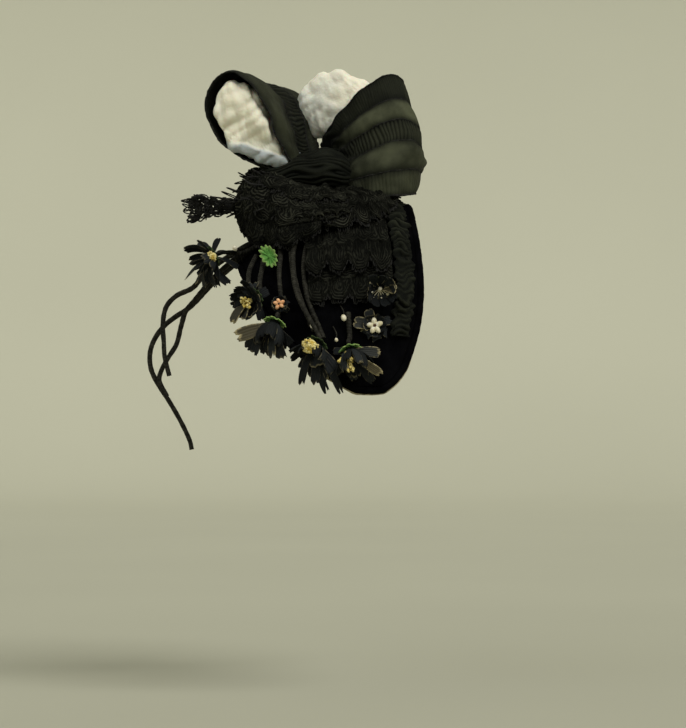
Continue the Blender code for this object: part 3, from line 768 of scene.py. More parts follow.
def make_cap():
    """Velvet over the stiff saddle, from over one ear to the other."""
    bm = new_mesh()

    def place(u, v):
        angle = cap_share(u)
        front, back = cap_front(angle), cap_back(angle)
        return head_point(angle, front + (back - front) * v, CAP_WALL / 2)

    shares = grid(bm, *CAP_CELLS, place)
    raise_relief(bm, shares, lambda u, v: PILE_RELIEF * uneven(34 * u, 14 * v))
    cap = piece_from("cap_velvet", bm, "velvet", ["velvet_base"], CAP_WALL)


def make_rim():
    """The rolled edge, and the line along the left lobe where its velvet is worn pale."""
    bm = new_mesh("along")
    line = rim_line(420, RIM_RADIUS)
    radii = [RIM_RADIUS * (1.16 + 0.07 * uneven(at / 0.0021)) for at in distances(line)]
    tube(bm, line, radii, 10, ring=True)
    piece_from("rim_velvet", bm, "velvet", ["rim_roll"])

    bm = new_mesh("along")
    line = rim_line(520, 2.25 * RIM_RADIUS, 0.50 * RIM_RADIUS)
    lowest = min(point.z for point in line)
    lobe = [point for point in line if point.x > 0 and point.z < WORN_FROM * lowest]
    radii = []
    for i in range(len(lobe)):
        fading = math.sin(math.pi * (i + 0.5) / len(lobe)) ** 0.3
        radii.append(WORN_RADIUS * (1 + 0.35 * uneven(i / 5)) * fading)
    tube(bm, lobe, radii, 7)
    piece_from("rim_worn_edge", bm, "worn_edge")


RUCHE_REACH = 0.80 * LOBE_ANGLE
RUCHE_INSET = 2 * GAP + 0.0012
RUCHE_RAGGED = 0.0020


def make_ruche():
    """Gathered band along the back edge: uneven gathers with a ragged outer edge."""
    count = bpy.context.scene.bonnet_cloth.gathers
    bm = new_mesh("tone")

    def gather(u, v):
        shift = 0.85 * uneven(count * u / 3.1, 1.6 * v)
        shift += 0.45 * uneven(count * u / 1.2, 1.2 * v, 3.0)
        return 0.5 - 0.5 * math.cos(2 * math.pi * (count * u + shift))

    def place(u, v):
        angle = RUCHE_REACH * (2 * u - 1)
        crown = math.sin(math.pi * v) ** 0.45 if 0 < v < 1 else 0.0
        tall = 0.70 + 0.75 * uneven(count * u / 1.7, v * 1.3, 1.0)
        lift = CAP_TOP + GAP + LACE_WALL / 2 + RUCHE_HEIGHT * (1.35 * gather(u, v) * tall * crown + 0.25)
        ragged = RUCHE_RAGGED * uneven(count * u / 0.9, 5.0 * v, 2.0) * abs(2 * v - 1)
        return head_point(angle, cap_back(angle) - RUCHE_INSET - RUCHE_WIDTH * (1 - v) + ragged, lift)

    shares = grid(bm, 7 * count, 12, place)
    # tone: a painted highlight on the crests of the gathers
    mark(bm, shares, "tone", lambda u, v: 0.01 + 0.20 * gather(u, v) ** 4)
    ruche = piece_from("ruche_gathers", bm, "ribbon", ["back_ruche"], FOLDED_CLOTH)


# Lace

MOUND = rows_of(
    "out reach front side",
    (0.00, 0.30, 0.42, 0.30),
    (0.30, 0.58, 0.92, 0.36),
    (0.55, 0.83, 1.15, 0.36),
    (0.78, 0.97, 0.92, 0.30),
    (1.00, 1.00, 0.50, 0.20),
)


def mound_point(turn, out):
    """A point of the lace mound: turn is 0 at the back and half a turn at the front."""
    front = max(-math.cos(turn), 0.0) ** 1.5
    behind = max(math.cos(turn), 0.0) ** 1.2
    beside = 1 - front - behind
    reach = MOUND_FRONT if math.cos(turn) < 0 else MOUND_BACK
    flute = math.sin(MOUND_FLUTES * turn) * out
    spread = table_value(MOUND, "out", "reach", out) * (1 + 0.035 * flute * (1 - behind))
    at_front, at_side = (table_value(MOUND, "out", name, out) for name in ("front", "side"))
    rise = MOUND_RISE * (front * at_front + beside * at_side)
    clear_of_tiers = (1 - behind) * (2 * STEM_RADIUS + TIER_STAND + 2 * TIER_FLUTE) * (1 + 0.4 * out)
    rise += CAP_TOP + clear_of_tiers + TIER_FLUTE * (0.4 + flute * (0.4 + 0.6 * (1 - behind)))
    side = MOUND_SIDE * spread * math.sin(turn)
    back = KNOT_BEHIND + reach * spread * math.cos(turn)
    return head_top(side, back, rise)


SCALLOP_CURL = 0.0011
LACE_CRUMPLE = 0.0004


def scale_at(along, down, wide, rows_down, tall, seed):
    """The scallop that covers this place: how far it is from the scallop's middle, and its share down it."""
    for row in range(rows_down + 1):
        middle_down = (row + 0.35) * tall
        shift = 0.5 * ((rows_down - 1 - row) % 2)
        number = math.floor(along / wide + shift)
        middle = (number + 0.5 - shift + 0.10 * uneven(number * 1.7, row * 2.3, seed)) * wide
        away = math.hypot(along - middle, 0.9 * max(down - middle_down, 0.0))
        if away < 0.53 * wide:
            break
    return away, min(max((down - middle_down) / (1.2 * tall) + 0.54, 0.0), 1.0)


def lace_sheet(name, size, cells, place, seed, tone=1.0, replaces=(), closed=False, lift=0.0):
    """A piece of scalloped lace. size is its pattern's length and depth, and v is 1 at its free edge."""
    sizes = bpy.context.scene.bonnet_lace
    long, deep = size
    wide = long / max(round(long / sizes.scallop), 2)
    rows_down = max(round((deep - 0.55 * wide) / (1.08 * wide) + 0.65), 1)
    tall = (deep - 0.55 * wide) / (rows_down - 0.65)

    @functools.cache
    def scale(u, v):
        across = long * u + 0.0009 * uneven(50 * u, 9 * v, seed)
        return scale_at(across % long, deep * v, wide, rows_down, tall, seed)

    def relief(u, v):
        away, fall = scale(u, v)
        cord = math.cos(2 * math.pi * away / sizes.pitch)
        crumple = LACE_CRUMPLE * uneven(30 * u * long / 0.1, 6 * v, seed)
        return lift + SCALLOP_CURL * fall**2 + sizes.relief * cord + crumple

    bm = new_mesh("ripple", "tone")
    shares = grid(bm, cells[0], cells[1], place, closed=closed)
    mark(bm, shares, "ripple", lambda u, v: scale(u, v)[0] / sizes.pitch)
    # tone: how strong the painted highlight on the cords is, stronger towards a scallop's lower edge, which
    # curls up
    mark(bm, shares, "tone", lambda u, v: tone * (0.35 + 0.65 * scale(u, v)[1]))
    turn_off_head(bm)
    raise_relief(bm, shares, relief)
    piece = piece_from(name, bm, "lace", replaces, LACE_CLOTH)
    flat_size(piece, deep)


def scalloped(u, scallops, depth):
    """Share of the full depth at this place along a scalloped edge."""
    return 1 - depth * (1 - abs(math.sin(math.pi * scallops * u)) ** 0.7)


THREAD_SIDES = 5
PICOT_POINTS = 9
PICOT_REACH = 0.0017


def picots(name, place, count, seed, reach=PICOT_REACH):
    """Small thread loops along the free edge of the lace that place(u, v) lays out."""
    sizes = bpy.context.scene.bonnet_lace
    chance = random.Random(seed)
    bm = new_mesh("along")
    for i in range(count):
        at = (i + 0.5) / count
        here, after = place(at, 1.0), place(min(at + 0.35 / count, 1.0), 1.0)
        out = (here - place(at, 0.93)).normalized()
        along = (after - here).normalized()
        tall = reach * chance.uniform(0.55, 1.25)
        lean = chance.uniform(-0.35, 0.35)
        tilt = out.cross(along).normalized() * chance.uniform(-0.45, 0.45)
        wide = 0.42 * reach * chance.uniform(0.7, 1.2)
        line = []
        for k in range(PICOT_POINTS):
            turn = math.pi * (1.18 * k / (PICOT_POINTS - 1) - 0.09)
            height = tall * (0.12 + math.sin(turn))
            line.append(here + along * (wide * math.cos(turn) + lean * height) + (out + tilt) * height)
        tube(bm, line, [sizes.thread * chance.uniform(0.8, 1.15)] * PICOT_POINTS, THREAD_SIDES)
    piece_from(name, bm, "thread")


MOUND_CRUSH = 0.0011


def make_lace_mound():
    """The mound of lace that the bow stands on."""
    def place(u, v):
        turn = 2 * math.pi * u
        crush = MOUND_CRUSH * uneven(7 * math.cos(turn), 7 * math.sin(turn), 5 * v)
        point = mound_point(turn, v)
        return point + Vector((0, 0, crush * (1 - max(math.cos(turn), 0))))

    lace_sheet(
        "lace_mound_net", (MOUND_PATTERN, MOUND_FLAT), MOUND_CELLS, place, 1.0,
        replaces=["lace_mound"], closed=True, lift=LACE_WALL / 2)
    picots("lace_mound_picots", place, 118, 11, 0.0021)


FLOUNCES = rows_of(
    "name start end top bottom lift dip scallops",
    ("lace_flounce_high", 0.16, 0.84, 0.26, 0.62, 0.0016, 0.0006, 11),
    ("lace_flounce_low", 0.13, 0.87, 0.55, 0.98, 0.0012, 0.0012, 14),
)


def make_lace_flounces():
    """Gathered flounces that lie over the mound on both sides and at the front."""
    for number, row in enumerate(FLOUNCES):
        def place(u, v):
            turn = 2 * math.pi * (row["start"] + (row["end"] - row["start"]) * u)
            fall = v * scalloped(u, row["scallops"], 0.16)
            out = row["top"] + (row["bottom"] - row["top"]) * fall
            gathers = 2.3 * row["scallops"] * u + uneven(9 * u)
            lift = row["lift"] + row["dip"] * math.sin(2 * math.pi * gathers) * v
            here = mound_point(turn, out)
            swell = 0.6 + 0.4 * uneven(14 * u, 2 * v, number)
            return here + off_head(here) * (lift * (0.35 + 0.65 * v) * (0.6 + swell * 0.6) + LACE_WALL / 2)

        long = FLOUNCE_PATTERN * row["scallops"]
        cells = (24 * row["scallops"], 38)
        lace_sheet(row["name"], (long, FLOUNCE_FLAT), cells, place, 5.0 + number)
        picots(row["name"] + "_picots", place, 7 * row["scallops"], 21 + number)


CAPE_TURN = math.radians(108)
CAPE_SIDE = math.radians(29)
CAPE_BACK = 0.031
CAPE_TOP = 0.0142
SKIRT = rows_of(
    "turn hang swing",
    (92, 0.0060, 0.0030),
    (125, 0.0125, 0.0020),
    (155, 0.0105, -0.0010),
    (176, 0.0070, -0.0020),
)


def squared(value):
    """Draws a sine or cosine out, so that a round outline becomes a blunt one."""
    return math.copysign(abs(value) ** 0.6, value)


def make_lace_cape():
    """The lace between the bow and the cap: a full cape over the back and the sides."""
    def place(u, v):
        turn = CAPE_TURN * (2 * u - 1)
        behind, aside = math.cos(turn), math.sin(turn)
        flute = math.sin(2 * math.pi * (13 * u + 0.4 * uneven(6 * u, v)))
        fall = v * scalloped(u, 15, 0.09)
        stand = 0.0080 - 0.0020 * max(behind, 0.0) + 0.0012 * flute
        hem = head_point(CAPE_SIDE * squared(aside), CAPE_BACK * squared(behind), stand)
        top = Vector((0.009 * aside, KNOT_BEHIND + 0.021 * behind, CAPE_TOP + 0.0010 * flute))
        knee = Vector((0.86 * hem.x, top.y + 0.80 * (hem.y - top.y), CAPE_TOP - 0.0012))
        return top * (1 - fall) ** 2 + knee * (2 * fall * (1 - fall)) + hem * fall**2

    lace_sheet("lace_cape_net", (CAPE_PATTERN, CAPE_FLAT), CAPE_CELLS, place, 60.0)
    picots("lace_cape_picots", place, 105, 61)


def make_lace_skirts():
    """Lace that hangs from the mound over the cap's front corners."""
    for side, label in ((1, "left"), (-1, "right")):
        def place(u, v):
            degrees = 92 + 84 * u
            top = mound_point(side * math.radians(degrees), 0.96)
            fall = v * scalloped(u, 6, 0.16)
            hang = table_value(SKIRT, "turn", "hang", degrees) * (1 + 0.10 * uneven(7 * u, v, side))
            out = Vector((top.x, top.y - KNOT_BEHIND, 0)).normalized()
            flute = 0.0014 * math.sin(2 * math.pi * (6 * u + 0.3 * uneven(5 * u, v, side))) * fall
            belly = 0.0012 * math.sin(math.pi * fall)
            swing = table_value(SKIRT, "turn", "swing", degrees) * fall + flute + belly
            return top + out * swing - Vector((0, 0, hang * fall))

        name = f"lace_skirt_{label}"
        lace_sheet(
            name + "_net", (SKIRT_PATTERN, SKIRT_FLAT), SKIRT_CELLS, place, 70.0 + side,
            tone=0.6)
        picots(name + "_picots", place, 40, 72 + side)


TIERS = rows_of(
    "name top bottom stand rows",
    ("lace_upper", 18, 49, 2.6, 64),
    ("lace_lower", 43, 59, 0.9, 32),
)
TIER_FLUTES = 7
TIER_SCALLOPS = 4


def make_lace_tiers():
    """Two lace tiers on each side, the upper one over the lower."""
    for number, row in enumerate(TIERS):
        for side, label in ((1, "left"), (-1, "right")):
            top, bottom = math.radians(row["top"]), math.radians(row["bottom"])
            seed = 30.0 + 4 * number + side

            def place(u, v):
                scallop = 1 - TIER_SCALLOP * (1 - abs(math.sin(math.pi * TIER_SCALLOPS * u)))
                angle = top + (bottom - top) * v * scallop * scalloped(u, TIER_SCALLOPS, 0.055)
                front, back = -CAP_FRONT * TIER_FRONT, cap_back(angle) - TIER_BACK_INSET
                wave = 0.5 - 0.5 * math.cos(2 * math.pi * (TIER_FLUTES * u + 0.3 * uneven(5 * u, v, seed)))
                lift = CAP_TOP + v * (row["stand"] * TIER_STAND + wave * TIER_FLUTE)
                return head_point(side * angle, front + (back - front) * u, lift + LACE_WALL / 2)

            name = f"{row['name']}_{label}"
            deep = math.radians(row["bottom"] - row["top"]) * (HEAD_BREADTH / 2 + 0.008)
            lace_sheet(
                name + "_net", (TIER_PATTERN, deep), (110, row["rows"]), place, seed,
                tone=0.55, replaces=[name])
            picots(name + "_picots", place, 30, 40 + 4 * number + side)


def frill_point(across, out, layer=0.0):
    """A point of the stiff frill over the forehead: across is -1 to 1 and out 0 at the mound."""
    root = KNOT_BEHIND - MOUND_FRONT * 1.035 - LACE_WALL - 2 * GAP
    root_height = mound_point(math.pi, 1.0).z + FRILL_HEIGHT
    wave = math.sin(2.5 * math.pi * across + 0.5 * layer) * (0.25 + 0.75 * out)
    reach = FRILL_REACH * out * (1 - 0.25 * across**2)
    side = FRILL_SPREAD * across * (0.55 + 0.45 * out)
    bow_in = 0.004 * across**2
    height = root_height + FRILL_WAVE * wave - 0.12 * reach + 0.0016 * uneven(4 * across, 3 * out, layer)
    return Vector((side, root + bow_in * (1 - out) - reach, height))


FRILL_LAYERS = (0.0, 1.4)
FRILL_SPOKES = 15
SPOKE_STEPS = 14
ARC_STEPS = 6
# The rows across the frill: how far out each is, and how thick its thread is beside the picots'
FRILL_ROWS = ((0.06, 1.7), (0.34, 1.2), (0.60, 1.7), (0.84, 1.2))
FRILL_LOOPS = 60
LOOP_POINTS = 11
TUFTS = 90


def make_lace_frill():
    """Stiffened needle lace over the forehead: thread rows with open loops between them."""
    sizes = bpy.context.scene.bonnet_lace
    chance = random.Random(7)
    bm = new_mesh("along")

    def thread(line, thick):
        radii = [thick * (1 + 0.25 * uneven(i / 2.0, thick * 9000, len(line))) for i in range(len(line))]
        tube(bm, line, radii, THREAD_SIDES)

    for layer in FRILL_LAYERS:
        for i in range(FRILL_SPOKES):
            across = -1 + 2 * i / (FRILL_SPOKES - 1) + chance.uniform(-0.035, 0.035)
            end = 0.66 + 0.36 * chance.random()
            sway = chance.uniform(-0.12, 0.12)
            line = []
            for s in range(SPOKE_STEPS + 1):
                swayed = across + sway * math.sin(5 * s / SPOKE_STEPS * math.pi)
                line.append(frill_point(swayed, end * s / SPOKE_STEPS, layer))
            thread(line, 1.25 * sizes.thread)
        for number, (out, thick) in enumerate(FRILL_ROWS):
            steps = (FRILL_SPOKES - 1) * ARC_STEPS
            line = []
            for s in range(steps + 1):
                across = -1 + 2 * s / steps
                sag = abs(math.sin(math.pi * s / ARC_STEPS + (number % 2) * math.pi / 2))
                sag += 0.8 * uneven(3.1 * across, 5.0 * number, layer)
                line.append(frill_point(across, out + 0.085 * sag, layer))
            thread(line, thick * sizes.thread)
    for _ in range(FRILL_LOOPS):
        across = chance.uniform(-1, 1)
        out = chance.uniform(0.80, 1.0)
        here = frill_point(across, out, chance.choice(FRILL_LAYERS))
        size = FRILL_REACH * chance.uniform(0.06, 0.15)
        lean = Vector((chance.uniform(-0.6, 0.6), -1.0, chance.uniform(-0.5, 0.5))).normalized()
        side = lean.cross(Vector((chance.uniform(-1, 1), 0, 1))).normalized()
        loop = []
        for k in range(LOOP_POINTS):
            turn = 2 * math.pi * k / LOOP_POINTS
            loop.append(here + lean * size * (1 - math.cos(turn)) + side * size * 0.62 * math.sin(turn))
        tube(bm, loop, [1.2 * sizes.thread] * LOOP_POINTS, THREAD_SIDES, ring=True)
    piece_from("lace_frill_threads", bm, "thread", ["lace_front_frill"])


def make_frill_tufts():
    """Loose hairpins of thread that stand out of the mound above and below the frill."""
    sizes = bpy.context.scene.bonnet_lace
    chance = random.Random(17)
    bm = new_mesh("along")
    for _ in range(TUFTS):
        turn = math.pi + chance.uniform(-0.85, 0.85)
        here = mound_point(turn, chance.uniform(0.10, 0.95))
        way = Vector((0.8 * math.sin(turn), -1, chance.uniform(-0.50, 0.85))).normalized()
        beside = way.cross(Vector((chance.uniform(-1, 1), 0.2, 1))).normalized()
        tall, wide = chance.uniform(0.0050, 0.0112), chance.uniform(0.0004, 0.0010)
        curl = Vector([chance.uniform(-0.0016, 0.0016) for _ in range(3)])
        line = []
        for k in range(LOOP_POINTS):
            bend = math.pi * k / (LOOP_POINTS - 1)
            out = math.sin(bend)
            line.append(here + way * (tall * out - 0.0006) + beside * wide * math.cos(bend) + curl * out**2)
        tube(bm, line, [1.25 * sizes.thread] * LOOP_POINTS, THREAD_SIDES)
    piece_from("lace_frill_tufts", bm, "thread")


# Bow

# Each row is the ring at one share of the ribbon's width: sideways in ribbon widths, all else in loop lengths
RING_NAMES = (
    "across root_side root_back root_up bend_back bend_up"
    " tip_side tip_back tip_up half_side half_back half_up neck"
)
FRONT_LOOP = rows_of(
    RING_NAMES,
    (0.00, 0.10, 0.00, 0.00, -0.48, 0.00, 0.44, -0.60, 0.70, 0.00, 0.275, 0.05, 0.10),
    (0.33, 0.04, 0.00, 0.00, -0.39, 0.05, 0.16, -0.48, 0.69, 0.00, 0.27, 0.03, 0.22),
    (0.66, -0.03, 0.00, 0.01, -0.30, 0.11, -0.14, -0.32, 0.66, 0.00, 0.255, 0.01, 0.40),
    (1.00, -0.10, 0.00, 0.02, -0.20, 0.17, -0.44, -0.156, 0.63, 0.00, 0.235, 0.00, 0.60),
)
BACK_LOOP = rows_of(
    RING_NAMES,
    (0.00, 0.114, 0.02, -0.190, 0.28, -0.195, 0.114, 0.548, -0.175, 0.30, 0.00, -0.03, 0.35),
    (0.25, 0.07, 0.00, -0.085, 0.30, -0.05, 0.06, 0.60, 0.02, 0.333, -0.03, 0.04, 0.35),
    (0.50, 0.00, 0.00, 0.02, 0.30, 0.07, -0.01, 0.61, 0.12, 0.333, 0.03, 0.18, 0.40),
    (0.72, -0.08, -0.03, 0.14, 0.26, 0.22, -0.08, 0.571, 0.28, 0.318, 0.02, 0.235, 0.45),
    (1.00, -0.17, -0.145, 0.225, 0.145, 0.43, -0.17, 0.465, 0.568, 0.273, 0.053, 0.28, 0.50),
)
FRONT_ROOT = Vector((0.0, KNOT_BEHIND - KNOT_HALF_LENGTH - RIBBON_WALL - 3 * GAP, KNOT_MIDDLE))
BACK_ROOT = Vector((0.0, KNOT_BEHIND + KNOT_HALF_LENGTH + RIBBON_WALL + GAP, KNOT_MIDDLE))
LOOPS = {"front": (FRONT_LOOP, FRONT_ROOT), "back": (BACK_LOOP, BACK_ROOT)}

# Bands across the ribbon: how pale, how far it puffs out, and how deep and how close its pleats are
BANDS = {
    "front": rows_of(
        "low high tone puff pleat pitch",
        (0.00, 0.46, 0.46, 0.9, 0.00, 1.0),
        (0.46, 0.76, 0.07, 0.0, 1.00, 1.0),
        (0.76, 1.00, 0.24, 0.5, 0.15, 1.3),
    ),
    "back": rows_of(
        "low high tone puff pleat pitch",
        (0.00, 0.215, 0.50, 0.2, 0.35, 1.1),
        (0.215, 0.475, 0.72, 1.0, 0.00, 1.0),
        (0.475, 0.655, 0.22, 0.0, 1.00, 1.0),
        (0.655, 0.815, 1.10, 0.8, 0.06, 1.4),
        (0.815, 1.00, 0.17, 0.3, 0.55, 0.55),
    ),
}


@functools.cache
def ring(loop, across):
    """A loop's ring at this share of the ribbon's width: its spine's three points, half width and neck."""
    table, root = LOOPS[loop]

    def at(name):
        low, high = table[0]["across"], table[-1]["across"]
        if across < low or across > high:
            edge, step = (low, -0.05) if across < low else (high, 0.05)
            inner = table_value(table, "across", name, edge - step)
            outer = table_value(table, "across", name, edge)
            return outer + (outer - inner) * (across - edge) / step
        return table_value(table, "across", name, across)

    def end(name):
        side, back, up = (at(f"{name}_{way}") for way in ("side", "back", "up"))
        return Vector((side * RIBBON_WIDTH, back * LOOP_LENGTH, up * LOOP_LENGTH))

    start, tip = end("root"), end("tip")
    bend = Vector(((start.x + 2 * tip.x) / 3, at("bend_back") * LOOP_LENGTH, at("bend_up") * LOOP_LENGTH))
    half = Vector((at("half_side"), at("half_back"), at("half_up"))) * LOOP_LENGTH
    return root + start, root + bend, root + tip, half, at("neck")


def ring_point(loop, across, along, beside):
    """A point of a loop: across the ribbon, along the ring's spine and beside it, beside being -1 to 1."""
    start, bend, tip, half, neck = ring(loop, across)
    spine = start * (1 - along) ** 2 + bend * (2 * along * (1 - along)) + tip * along**2
    fullness = neck + (1 - neck) * min(1.15 * along, 1.0)
    return spine + half * (beside * fullness)


def loop_point(loop, across, turn):
    """A point on the ribbon: turn goes once round the ring, from the knot out and back."""
    return ring_point(loop, across, (1 - math.cos(turn)) / 2, math.sin(turn))


def band_at(loop, across):
    """The band at this share of the width, and how far across the band it is."""
    for band in BANDS[loop]:
        if across <= band["high"]:
            break
    return band, min(max((across - band["low"]) / (band["high"] - band["low"]), 0.0), 1.0)


def pleat_at(loop, band, across, turn):
    """From 0 in a valley to 1 on a crest of a shirred band's uneven pleats."""
    sizes = bpy.context.scene.bonnet_ribbon
    number = 2.35 * LOOP_LENGTH / (sizes.pleat * band["pitch"])
    drift = 0.50 * uneven(2.6 * turn, 5 * across, number) + 0.16 * uneven(15 * turn, 9 * across)
    wave = math.cos(round(number) * turn + 2 * math.pi * drift)
    return (0.5 + 0.5 * wave) ** 0.75


KNOT_GATHERS = 0.0009
RIBBON_CRUSH = 0.0007


def ribbon_relief(loop, across, turn):
    """How far the ribbon stands out from the ring's own surface."""
    sizes = bpy.context.scene.bonnet_ribbon
    band, share = band_at(loop, across)
    along = (1 - math.cos(turn)) / 2
    inside = math.sin(math.pi * share)
    rise = sizes.puff * band["puff"] * inside ** 0.7 * ramp(0.02, 0.25, along)
    if band["pleat"]:
        depth = sizes.pleat_depth * band["pleat"] * min(1.0, 2.6 * inside + 0.15)
        rise += depth * (pleat_at(loop, band, across, turn) - 0.5)
    near_knot = 1 - ramp(0.0, 0.34, along)
    gathers = math.cos(2 * math.pi * (7.5 * across + 0.5 * uneven(3 * turn, 2 * across)))
    rise += KNOT_GATHERS * near_knot * gathers
    rise += RIBBON_CRUSH * uneven(3.2 * turn, 7 * across, 4.0) * ramp(0.05, 0.3, along)
    return rise


def make_bow_loops():
    """The two loops of gathered ribbon, each with its cords."""
    for loop in LOOPS:
        def place(u, v):
            return loop_point(loop, v, 2 * math.pi * u)

        # tone: the band's own paleness, painted shade at band edges and near the knot, painted highlight on
        # pleat crests
        def tone(u, v):
            band, share = band_at(loop, v)
            edge = min(ramp(-0.1, 0.34, share), ramp(-0.1, 0.34, 1 - share))
            turn = 2 * math.pi * u
            crest = pleat_at(loop, band, v, turn) if band["pleat"] > 0.2 else 0.5
            near_knot = 1 - ramp(0.0, 0.30, (1 - math.cos(turn)) / 2)
            return band["tone"] * edge * (1 - 0.85 * near_knot) + 0.20 * (crest - 0.5) * band["pleat"]

        bm = new_mesh("tone")
        shares = grid(bm, *LOOP_CELLS, place, closed=True)
        mark(bm, shares, "tone", tone)
        turn_outwards(bm)
        raise_relief(bm, shares, lambda u, v: RIBBON_WALL / 2 + ribbon_relief(loop, v, 2 * math.pi * u))
        name = f"bow_loop_{loop}"
        piece = piece_from(name + "_ribbon", bm, "ribbon", [name], RIBBON_CLOTH)
        # The inner faces take the same ribbon in painted shade
        piece.data.materials.append(finish_named("ribbon_inside_shaded"))
        piece.modifiers["wall"].material_offset = 1
        cords = make_loop_cords(loop)


CORD_STEPS = 220
GATHERING_THREAD = 0.00034
NEAR_HEM = (0.004, 0.00050)
FAR_HEM = (0.996, 0.00046)


def make_loop_cords(loop):
    """The gathering threads at the sides of the shirred bands, and the rolled hems."""
    bm = new_mesh("along")
    gathers = [(band["low"], GATHERING_THREAD) for band in BANDS[loop][1:]]
    turns = [2 * math.pi * i / CORD_STEPS for i in range(CORD_STEPS)]
    for across, thick in (NEAR_HEM, *gathers, FAR_HEM):
        line = []
        for turn in turns:
            here = loop_point(loop, across, turn)
            step_along = loop_point(loop, across, turn + 0.02) - loop_point(loop, across, turn - 0.02)
            step_across = loop_point(loop, across + 0.01, turn) - loop_point(loop, across - 0.01, turn)
            out = step_along.cross(step_across).normalized()
            line.append((here, out))
        middle = sum((here for here, _ in line), Vector()) / CORD_STEPS
        if sum((out.dot(here - middle) for here, out in line), 0.0) < 0:
            line = [(here, -out) for here, out in line]
        raised = []
        for turn, (here, out) in zip(turns, line):
            pull = 0.00022 * uneven(22 * turn, across * 7)
            raised.append(here + out * (RIBBON_WALL / 2 + ribbon_relief(loop, across, turn) + 0.0002 + pull))
        radii = [thick * (1 + 0.22 * uneven(at / 0.0016)) for at in distances(raised)]
        tube(bm, raised, radii, 6, ring=True)
    return piece_from(f"bow_loop_{loop}_cords", bm, "thread")


KNOT = rows_of(
    "height wide long",
    (0.00, 0.42, 0.80),
    (0.22, 0.45, 0.72),
    (0.45, 0.86, 0.86),
    (0.70, 1.00, 1.00),
    (0.90, 0.80, 0.82),
    (1.00, 0.30, 0.35),
)


KNOT_SIDES = 72


def make_bow_knot():
    """Soft knot with pleats that run over it from front to back."""
    foot = head_point(0.0, KNOT_BEHIND, CAP_TOP + GAP).z
    bm = new_mesh("tone")

    def fold(turn, height):
        lines = 6.5 * height + 0.5 * uneven(2 * math.cos(turn), 2 * math.sin(turn), 3 * height)
        return math.cos(2 * math.pi * lines)

    def place(u, v):
        turn = 2 * math.pi * u
        wide = KNOT_HALF_WIDTH * table_value(KNOT, "height", "wide", v)
        long = KNOT_HALF_LENGTH * table_value(KNOT, "height", "long", v)
        shrink = 0.93 + 0.055 * fold(turn, v) * math.sin(math.pi * v)
        return Vector((
            wide * shrink * math.cos(turn),
            KNOT_BEHIND + long * shrink * math.sin(turn),
            foot + (KNOT_TOP - foot) * v,
        ))

    shares = grid(bm, KNOT_SIDES, 60, place, closed=True)
    # tone: painted highlight on the pleats' crests and painted shade in their hollows
    mark(bm, shares, "tone", lambda u, v: 0.10 + 0.12 * fold(2 * math.pi * u, v))
    edges = [edge for edge in bm.edges if edge.is_boundary]
    bmesh.ops.holes_fill(bm, edges=edges, sides=KNOT_SIDES)
    piece_from("bow_knot_pleats", bm, "ribbon", ["bow_knot"])


CROSSPIECE = rows_of(
    "back top bottom half_wide",
    (-0.0440, 0.0240, 0.0150, 0.009),
    (-0.0360, 0.0275, 0.0125, 0.016),
    (-0.0200, 0.0305, 0.0118, 0.019),
    (-0.0060, 0.0345, 0.0118, 0.020),
    (0.0050, 0.0320, 0.0118, 0.018),
    (0.0150, 0.0240, 0.0135, 0.012),
)


def make_bow_crosspiece():
    """The ribbon drawn together over the lace, with long folds that run from front to back."""
    low, high = CROSSPIECE[0]["back"], CROSSPIECE[-1]["back"]

    def fold(u, v):
        turn = 2 * math.pi * u
        lines = 17 * u + 1.1 * uneven(3.2 * v, 2.2 * math.cos(turn), 2.2 * math.sin(turn))
        return abs(math.sin(math.pi * lines)) ** 0.6

    def place(u, v):
        back = low + (high - low) * v
        top, bottom = (table_value(CROSSPIECE, "back", name, back) for name in ("top", "bottom"))
        wide = table_value(CROSSPIECE, "back", "half_wide", back)
        turn = 2 * math.pi * u
        closing = min(1.0, 5 * v, 5 * (1 - v)) ** 0.5 if 0 < v < 1 else 0.02
        shrink = closing * (0.90 + 0.13 * fold(u, v))
        height = (top + bottom) / 2 + (top - bottom) / 2 * shrink * math.cos(turn)
        return Vector((wide * shrink * math.sin(turn), back, height + 0.0010 * uneven(5 * v, 2 * u)))

    bm = new_mesh("tone")
    shares = grid(bm, *CROSSPIECE_CELLS, place, closed=True)
    # tone: a painted highlight on the crests of the folds
    mark(bm, shares, "tone", lambda u, v: 0.09 * fold(u, v) ** 3)
    turn_outwards(bm)
    piece = piece_from("bow_crosspiece", bm, "ribbon", (), FOLDED_CLOTH)


# The paper in each loop: the shares of the ribbon's width and of the loop's length that it takes up, how boxy
# and how full it is, and where and which way it spills out of the loop
TISSUE = rows_of(
    "loop low high middle blunt near_fill far_fill spill_from spill_side spill_back spill_up",
    ("front", -0.03, 0.93, 0.505, 7.0, 1.0, 0.78, 0.93, 0.0, 0.0, 0.0),
    ("back", 0.08, 1.20, 0.55, 3.0, 0.80, 0.82, 0.80, -0.05, -0.37, 0.08),
)


def crease(point, cell, seed):
    """0 on the creases of crumpled paper and up to about 1 in the middle of its flat patches."""
    near, _ = noise.voronoi(point / cell + Vector((seed, 0.3 * seed, 0)))
    return min(near[1] - near[0], 1.0)


# Large and small creases: how tall, how far apart, where in the pattern, and the level that stays in place
CREASES = ((0.0040, 0.019, 1.0, 0.50), (0.0014, 0.0085, 5.0, 0.45))
SHEET_RISE = 0.0014


